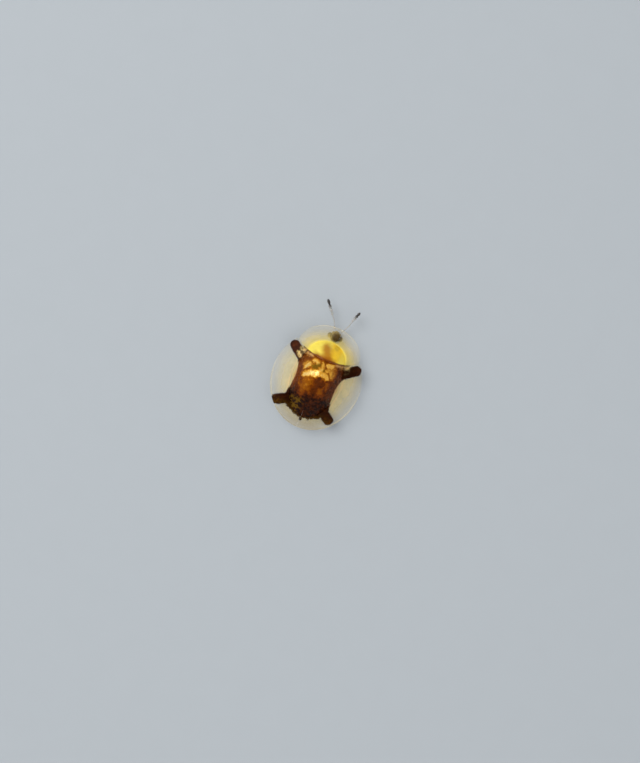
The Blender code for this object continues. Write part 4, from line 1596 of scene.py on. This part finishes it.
def make_mouth():
    """Upper lip, jaws and the jointed mouth feelers beside them."""
    lip = add_ball(LABRUM, (0.16, 0.3, 0.12), 24, 14)
    inset_faces(lip, lambda centre, normal: normal.y < -0.55, ((0.03, -0.02),))
    parts = [lip]
    for _, side in SIDES:
        spots = ([middle + off for middle, off in zip(MANDIBLE, each)] for each in JAW)
        stem, bend, tip = (Vector(mirrored(spot, side)) for spot in spots)
        jaw = [stem, stem.lerp(bend, 0.6), bend, tip]
        parts.append(add_limb(jaw, (0.13, 0.14, 0.11, 0.02), sides=10))
        palp = [Vector(mirrored(point, side)) for point in PALP]
        for start, end, thick in ((palp[0], palp[1], 0.075), (palp[1], palp[2], 0.065)):
            points = [start.lerp(end, share) for share in (0.0, 0.12, 0.6, 0.9, 1.02)]
            sizes = [thick * each for each in (0.5, 0.75, 1.0, 0.85, 0.3)]
            parts.append(add_limb(points, sizes, sides=8))
    return join(parts)


def make_socket(side):
    """The raised ring that a feeler grows from."""
    clear_selection()
    bpy.ops.mesh.primitive_torus_add(
        major_radius=0.125, minor_radius=0.035, major_segments=28, minor_segments=10
    )
    ring = bpy.context.object
    spot = mirrored(SOCKET, side)
    tilt = Matrix.Rotation(math.radians(78), 4, "X")
    ring.data.transform(Matrix.Translation(place(*spot)) @ tilt)
    return ring


def make_eye(side, fineness):
    """A compound eye: a ball whose every corner becomes a raised six-sided lens."""
    clear_selection()
    bpy.ops.mesh.primitive_ico_sphere_add(subdivisions=fineness, radius=1.0)
    eye = bpy.context.object
    apply_nodes(eye, facets_tree())
    size = Matrix.Diagonal((EYE_RADII[1], EYE_RADII[0], EYE_RADII[2], 1.0))
    eye.data.transform(Matrix.Translation(place(*mirrored(EYE_MIDDLE, side))) @ size)
    edit_all(eye)
    bpy.ops.mesh.inset(thickness=0.0035, depth=0.0035, use_individual=True)
    bpy.ops.object.mode_set(mode="OBJECT")
    return eye


# Feelers
def make_feeler_joint():
    """One joint of a feeler, a unit long and a unit thick, narrow at its root."""
    profile = ((0.0, 0.5), (0.08, 0.62), (0.35, 0.86), (0.7, 1.0), (0.9, 0.96), (0.98, 0.6), (1.0, 0.3))
    return add_spindle(Vector((0, 0, 0)), Vector((0, 0, 1)), profile)


def feeler_radius(index):
    """Half thickness of each joint: a stout root, a slim shaft and a club of four."""
    if index == 0:
        return FEELER_ROOT
    return mix(FEELER_SHAFT, FEELER_CLUB, soft_rise(index, 6, 2.0))


def make_feeler(points, club_hairs):
    """The joints of a feeler along its path, and the hairs on its club."""
    total = sum(ANTENNA_JOINTS)
    hairs = club_hairs // (len(ANTENNA_JOINTS) - FIRST_HAIRY_JOINT)
    pattern = make_feeler_joint()
    joints, spots, walked = [], [], 0.0
    for index, size in enumerate(ANTENNA_JOINTS):
        start = place(*smooth_path(points, walked / total))
        walked += size
        end = place(*smooth_path(points, min(0.999, walked / total)))
        radius = feeler_radius(index)
        turn = (end - start).to_track_quat("Z", "Y").to_matrix().to_4x4()
        stretch = Matrix.Diagonal((radius, radius, (end - start).length * 1.02, 1.0))
        joint = copy_of(pattern, Matrix.Translation(start) @ turn @ stretch)
        if index == len(ANTENNA_JOINTS) - 1:
            taper_to(joint, start, end)
        joints.append(joint)
        if index >= FIRST_HAIRY_JOINT:
            spots += bristles(start, end, radius, hairs, index)
    bpy.data.objects.remove(pattern)
    return join(joints), scatter(make_bristle(), spots)


def taper_to(joint, start, end):
    """Narrows the outer half of the last joint towards its tip."""
    line = end - start
    for vertex in joint.data.vertices:
        share = (vertex.co - start).dot(line) / line.length_squared
        axis = start + line * share
        vertex.co = axis + (vertex.co - axis) * mix(1.0, 0.5, soft_rise(share, 0.5, 0.5))


def make_bristle():
    """A hair one unit long."""
    clear_selection()
    bpy.ops.mesh.primitive_cone_add(
        vertices=5, radius1=0.07, radius2=0.01, depth=1.0, location=(0, 0, 0.5)
    )
    bpy.ops.object.transform_apply(location=True, rotation=False, scale=False)
    return bpy.context.object


def sideways(line, angle):
    """The way out from a line, turned about it by an angle."""
    across = line.orthogonal().normalized()
    return across * math.cos(angle) + line.cross(across) * math.sin(angle)


def bristles(start, end, radius, count, seed):
    """Spots of short hairs that lean forward all round a joint."""
    line = (end - start).normalized()
    found = []
    for index in range(count):
        share = 0.1 + 0.6 * ((index * GOLDEN_SHARE + seed * 0.37) % 1.0)
        out = sideways(line, index * GOLDEN_ANGLE + seed)
        point = start.lerp(end, share) + out * radius * 0.86
        found.append((point, out + line * 1.3, 0.075 + 0.03 * ((index * 0.37) % 1.0)))
    return found


# Legs
def make_thigh(hip, knee):
    """The short turning joint at the hip and the spindle-shaped thigh, as one piece."""
    hip, knee = Vector(hip), Vector(knee)
    line = (knee - hip).normalized()
    span = (knee - hip).length
    turning = add_spindle(hip, line, ((0.2, 0.13), (0.28, 0.18), (0.45, 0.19), (0.6, 0.15), (0.66, 0.09)))
    profile = (
        (0.5, 0.1), (0.56, 0.17), (0.75, 0.23), (0.95, 0.27), (span * 0.62, 0.285),
        (span * 0.82, 0.25), (span - 0.04, 0.2), (span + 0.1, 0.17), (span + 0.17, 0.09),
    )
    return join([turning, add_spindle(hip, line, profile, flatness=0.82, sides=14)])


def make_shin(knee, ankle):
    """The shin: bent at its root, widest at its end, with a rim of short spurs there."""
    knee, ankle = Vector(knee), Vector(ankle)
    line = (ankle - knee).normalized()
    span = (ankle - knee).length
    profile = (
        (0.0, 0.1), (0.1, 0.15), (0.28, 0.14), (span * 0.45, 0.165), (span * 0.75, 0.2),
        (span - 0.06, 0.235), (span + 0.02, 0.22), (span + 0.04, 0.12),
    )
    shin = add_spindle(knee, line, profile, flatness=0.85, sides=14)
    middle, ahead = place(*ankle), (place(*ankle) - place(*knee)).normalized()
    spots = []
    for index in range(SPURS):
        out = sideways(ahead, 2 * math.pi * index / SPURS)
        spots.append((middle + out * 0.18 - ahead * 0.02, ahead * 1.6 + out * 0.5, 0.11))
    return join([shin, scatter(make_bristle(), spots)])


def foot_line(ankle, toe):
    """Where a foot starts on the floor, the way it points, the way across and its length."""
    flat = Vector((ankle[0], ankle[1], 0.0))
    ahead = (Vector(toe) - flat).normalized()
    start = flat + ahead * TARSUS_START
    span = (Vector(toe) - ahead * CLAW_LENGTH - start).length
    return start, ahead, Vector((-ahead[1], ahead[0], 0.0)), span


def make_foot(ankle, toe):
    """Two heart-shaped joints, a two-lobed one, and a slim one that carries two hooked claws."""
    start, ahead, across, span = foot_line(ankle, toe)
    up = Vector((0, 0, 1))

    def spot(along, up_to, aside=0.0):
        return start + ahead * (along * span) + across * aside + up * up_to

    def row(*places):
        return [spot(*each) for each in places]

    joints = [
        add_limb(
            [Vector(ankle) - up * 0.06, *row((-0.12, 0.27), (0.0, 0.21), (0.14, 0.18), (0.21, 0.17))],
            [0.1, 0.12, (0.17, 0.12), (0.21, 0.12), (0.1, 0.07)],
        ),
        add_limb(
            row((0.17, 0.19), (0.24, 0.18), (0.38, 0.165), (0.46, 0.16)),
            [0.08, (0.17, 0.1), (0.25, 0.12), (0.14, 0.07)],
        ),
        add_limb(
            row((0.42, 0.17), (0.5, 0.165), (0.6, 0.16), (0.66, 0.155)),
            [0.09, (0.2, 0.11), (0.25, 0.11), (0.14, 0.07)],
        ),
        add_limb(
            row((0.56, 0.2), (0.64, 0.23), (0.85, 0.235), (0.99, 0.22), (1.03, 0.21)),
            [0.06, 0.075, 0.09, 0.11, 0.06],
        ),
    ]
    for way in (-1, 1):
        lobe = [spot(along, up_to, way * aside) for along, up_to, aside in LOBE]
        joints.append(add_limb(lobe, LOBE_RADII))
        claw = [spot(0.97, 0.22, way * 0.05), spot(1.04, 0.235, way * 0.09)]
        claw += [spot(1.0, 0.2, way * 0.12) + ahead * 0.13, spot(1.0, 0.08, way * 0.13) + ahead * 0.185]
        joints.append(add_limb(claw, [0.06, 0.055, 0.045, 0.012], sides=8))
    return join(joints)


def make_sole(ankle, toe, count):
    """The brush of short hairs under the three broad joints of a foot."""
    start, ahead, across, span = foot_line(ankle, toe)
    spots = []
    for pad, (along, aside, wide) in enumerate(PADS):
        hairs = count // 2 if aside else count
        for index in range(hairs):
            reach = math.sqrt((index + 0.5) / hairs)
            angle = index * GOLDEN_ANGLE + pad
            on_floor = start + ahead * (along * span + 0.16 * reach * math.cos(angle))
            on_floor += across * (aside + wide * reach * math.sin(angle))
            lean = Vector((0.1 * math.cos(angle * 3), 0.1 * math.sin(angle * 3), -1.0))
            spots.append((place(on_floor[0], on_floor[1], 0.1), lean, 0.098))
    return scatter(make_bristle(), spots)


# Operators
class BeetlePiece(bpy.types.Operator):
    """Common base of the operators that build the beetle"""

    bl_options = {"REGISTER", "UNDO"}

    def execute(self, context):
        try:
            self.build(context.scene)
        except (RuntimeError, ValueError, KeyError) as problem:
            raise RuntimeError(f"{self.bl_label} could not be built: {problem}") from problem
        return {"FINISHED"}


class BEETLE_OT_wing_cases(BeetlePiece):
    """Build both wing cases, each a gilded dome with a clear margin and two dark bars"""

    bl_idname = "beetle.wing_cases"
    bl_label = "Wing Cases"

    def build(self, scene):
        shell, colours = scene.beetle_shell, scene.beetle_colours
        dome, clear = paint_wing_case(colours), paint_wing_margin(colours)
        below = paint_clear_underside(colours)
        for word, side in SIDES:
            case = make_wing_case(shell, side)
            finish_piece(case, f"wing_case_{word}", dome, "bronze_shell", [f"elytron_{word}"], below)
            margin = make_wing_margin(shell, side)
            stands_for = [f"elytron_margin_{word}"]
            finish_piece(margin, f"wing_margin_{word}", clear, "clear_margin", stands_for, below)


class BEETLE_OT_collar(BeetlePiece):
    """Build the golden collar plate over the neck, its clear margin and the small triangle behind"""

    bl_idname = "beetle.collar"
    bl_label = "Collar Plate"

    def build(self, scene):
        shell, colours = scene.beetle_shell, scene.beetle_colours
        gold = paint_collar(colours)
        finish_piece(make_collar(shell), "collar_plate", gold, "gold_shell", ["pronotum"])
        margin, clear = make_collar_margin(shell), paint_collar_margin(colours)
        below = paint_clear_underside(colours)
        finish_piece(margin, "collar_margin", clear, "clear_margin", ["pronotum_margin"], below)
        dome = paint_wing_case(colours)
        finish_piece(make_scutellum(shell), "small_triangle", dome, "bronze_shell", ["scutellum"])


class BEETLE_OT_trunk(BeetlePiece):
    """Build the underside: front trunk, thorax, ringed abdomen, hips and neck"""

    bl_idname = "beetle.trunk"
    bl_label = "Trunk"

    def build(self, scene):
        colours = scene.beetle_colours
        horn = paint_horn("front_trunk_horn", colours.amber, colours.bronze)
        dark, skin = paint_trunk(colours), paint_skin(colours)
        front = make_trunk_block(PROSTERNUM_SPAN, pronotum_height, prosternum_floor, 60, 36)
        finish_piece(front, "front_trunk", horn, "amber_cuticle", ["prosternum"])
        chest = make_trunk_block(THORAX_SPAN, elytra_height, thorax_floor, 70, 60)
        finish_piece(chest, "chest", dark, "dark_cuticle", ["thorax"])
        belly = make_trunk_block(ABDOMEN_SPAN, elytra_height, abdomen_floor, 50, 110)
        finish_piece(belly, "ringed_belly", dark, "dark_cuticle", ["abdomen"])
        for leg in LEGS:
            for word, side in SIDES:
                hip = make_hip(leg, side)
                finish_piece(hip, f"hip_{leg.name}_{word}", horn, "amber_cuticle")
        finish_piece(add_limb(NECK_SKIN, NECK_RADII), "neck_skin", skin, "amber_cuticle")
        finish_piece(add_limb(WAIST_SKIN, WAIST_RADII), "waist_skin", skin, "dark_cuticle")


class BEETLE_OT_head(BeetlePiece):
    """Build the head with its face plate, mouthparts and feeler sockets"""

    bl_idname = "beetle.head"
    bl_label = "Head"

    def build(self, scene):
        colours = scene.beetle_colours
        capsule = paint_head(colours)
        finish_piece(make_skull(), "head_capsule", capsule, "amber_cuticle", ["head"])
        horn = paint_horn("mouth_horn", colours.amber, colours.vertex)
        finish_piece(make_mouth(), "mouthparts", horn, "amber_cuticle")
        for word, side in SIDES:
            finish_piece(make_socket(side), f"feeler_socket_{word}", capsule, "amber_cuticle")


class BEETLE_OT_eyes(BeetlePiece):
    """Build both compound eyes"""

    bl_idname = "beetle.eyes"
    bl_label = "Eyes"

    def build(self, scene):
        facets = paint_eye(scene.beetle_colours)
        for word, side in SIDES:
            eye = make_eye(side, scene.beetle_detail.eye_fineness)
            finish_piece(eye, f"compound_eye_{word}", facets, "eye", [f"eye_{word}"])


class BEETLE_OT_feelers(BeetlePiece):
    """Build both feelers, eleven joints each, with hairs on the dark clubs"""

    bl_idname = "beetle.feelers"
    bl_label = "Feelers"

    def build(self, scene):
        horn, hair = paint_feeler(scene.beetle_colours), paint_hair(scene.beetle_colours)
        count = scene.beetle_detail.club_hairs
        for word, points in (("left", ANTENNA_LEFT), ("right", ANTENNA_RIGHT)):
            feeler, fuzz = make_feeler(points, count)
            finish_piece(feeler, f"feeler_{word}", horn, "amber_cuticle", [f"antenna_{word}"])
            finish_piece(fuzz, f"feeler_hairs_{word}", hair, "amber_cuticle")


class BEETLE_OT_legs(BeetlePiece):
    """Build all six legs, each with thigh, shin, foot and the hairs of its sole"""

    bl_idname = "beetle.legs"
    bl_label = "Legs"

    def build(self, scene):
        colours = scene.beetle_colours
        horn = paint_horn("leg_horn", colours.amber, colours.bronze)
        hair = paint_hair(colours)
        hairs = scene.beetle_detail.sole_hairs
        for leg in LEGS:
            for word, side in SIDES:
                hip, knee, ankle, toe = (mirrored(spot, side) for spot in leg[1:])
                end = f"{leg.name}_{word}"
                thigh, shin = make_thigh(hip, knee), make_shin(knee, ankle)
                foot, sole = make_foot(ankle, toe), make_sole(ankle, toe, hairs)
                finish_piece(thigh, f"thigh_{end}", horn, "amber_cuticle", [f"femur_{end}"])
                finish_piece(shin, f"shin_{end}", horn, "amber_cuticle", [f"tibia_{end}"])
                finish_piece(foot, f"foot_{end}", horn, "amber_cuticle", [f"tarsus_{end}"])
                finish_piece(sole, f"sole_hairs_{end}", hair, "amber_cuticle")


class BEETLE_OT_stage(BeetlePiece):
    """Set up the pale floor, the soft studio light and the camera straight above"""

    bl_idname = "beetle.stage"
    bl_label = "Stage"

    def build(self, scene):
        stage = scene.beetle_stage
        clear_selection()
        bpy.ops.mesh.primitive_plane_add(size=FLOOR_SIZE, location=(0.0, 0.0, 0.0))
        floor = bpy.context.object
        floor.name = "floor"
        floor.data.materials.append(paint_floor(tuple(stage.floor)))
        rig.stage(floor)
        add_sky(scene, stage.sky)
        for name, spot, size, share in LAMPS:
            add_lamp(name, spot, size, stage.key_power * share)
        add_camera(scene, stage)
        scene.view_settings.view_transform = "Standard"


def add_sky(scene, strength):
    """Light from all round, brightest near the horizon and dimmer overhead."""
    world = bpy.data.worlds.new("studio")
    world.use_nodes = True
    nodes, links = world.node_tree.nodes, world.node_tree.links
    way = nodes.new("ShaderNodeTexCoord")
    parts = nodes.new("ShaderNodeSeparateXYZ")
    ramp = nodes.new("ShaderNodeValToRGB")
    level, overhead = ramp.color_ramp.elements
    level.position, level.color = 0.0, HORIZON
    overhead.position, overhead.color = OVERHEAD_FROM, OVERHEAD
    links.new(way.outputs["Generated"], parts.inputs[0])
    links.new(parts.outputs["Z"], ramp.inputs[0])
    links.new(ramp.outputs[0], nodes["Background"].inputs["Color"])
    nodes["Background"].inputs["Strength"].default_value = strength
    scene.world = world


def add_lamp(name, location, size, power):
    """A square soft lamp that faces the beetle."""
    bpy.ops.object.light_add(type="AREA", location=location)
    lamp = bpy.context.object
    lamp.name = name
    lamp.data.shape = "SQUARE"
    lamp.data.size = size
    lamp.data.energy = power
    lamp.rotation_euler = (-Vector(location)).to_track_quat("-Z", "Y").to_euler()


def add_camera(scene, stage):
    """A camera that looks straight down, turned as the photo is."""
    bpy.ops.object.camera_add(
        location=(*CAMERA_SPOT, stage.camera_height), rotation=(0.0, 0.0, stage.camera_turn)
    )
    camera = bpy.context.object
    camera.name = "camera"
    camera.data.lens = stage.focal_length
    camera.data.sensor_width = SENSOR_WIDTH
    camera.data.clip_start = NEAREST_SEEN
    scene.camera = camera


class BEETLE_PT_panel(bpy.types.Panel):
    """Lists every piece of the beetle, with its sizes and colours"""

    bl_label = "Golden Tortoise Beetle"
    bl_idname = "BEETLE_PT_panel"
    bl_space_type = "VIEW_3D"
    bl_region_type = "UI"
    bl_category = "Beetle"

    def draw(self, context):
        for operator in OPERATORS:
            self.layout.operator(operator.bl_idname)
        for name, _ in SETTINGS:
            box = self.layout.box()
            group = getattr(context.scene, name)
            for key in group.__annotations__:
                box.prop(group, key)


SETTINGS = (
    ("beetle_shell", BeetleShellSettings),
    ("beetle_detail", BeetleDetailSettings),
    ("beetle_colours", BeetleColourSettings),
    ("beetle_stage", BeetleStageSettings),
)
OPERATORS = (
    BEETLE_OT_wing_cases,
    BEETLE_OT_collar,
    BEETLE_OT_trunk,
    BEETLE_OT_head,
    BEETLE_OT_eyes,
    BEETLE_OT_feelers,
    BEETLE_OT_legs,
    BEETLE_OT_stage,
)


def register():
    for name, group in SETTINGS:
        bpy.utils.register_class(group)
        setattr(bpy.types.Scene, name, PointerProperty(type=group))
    for operator in OPERATORS:
        bpy.utils.register_class(operator)
    bpy.utils.register_class(BEETLE_PT_panel)


def unregister():
    bpy.utils.unregister_class(BEETLE_PT_panel)
    for operator in reversed(OPERATORS):
        bpy.utils.unregister_class(operator)
    for name, group in reversed(SETTINGS):
        delattr(bpy.types.Scene, name)
        bpy.utils.unregister_class(group)


def write_sizes(solids):
    """Keeps the solids' box and the finished model's, to be set side by side."""
    boxes = {"cad": solids, "visual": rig.bounds()}
    plain = {name: [list(corner) for corner in box] for name, box in boxes.items()}
    with open(SIZE_FILE, "w") as file:
        json.dump(plain, file, indent=1)


def main():
    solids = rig.bounds()
    register()
    for operator in OPERATORS:
        group, name = operator.bl_idname.split(".")
        getattr(getattr(bpy.ops, group), name)()
    write_sizes(solids)


if __name__ == "__main__":
    main()
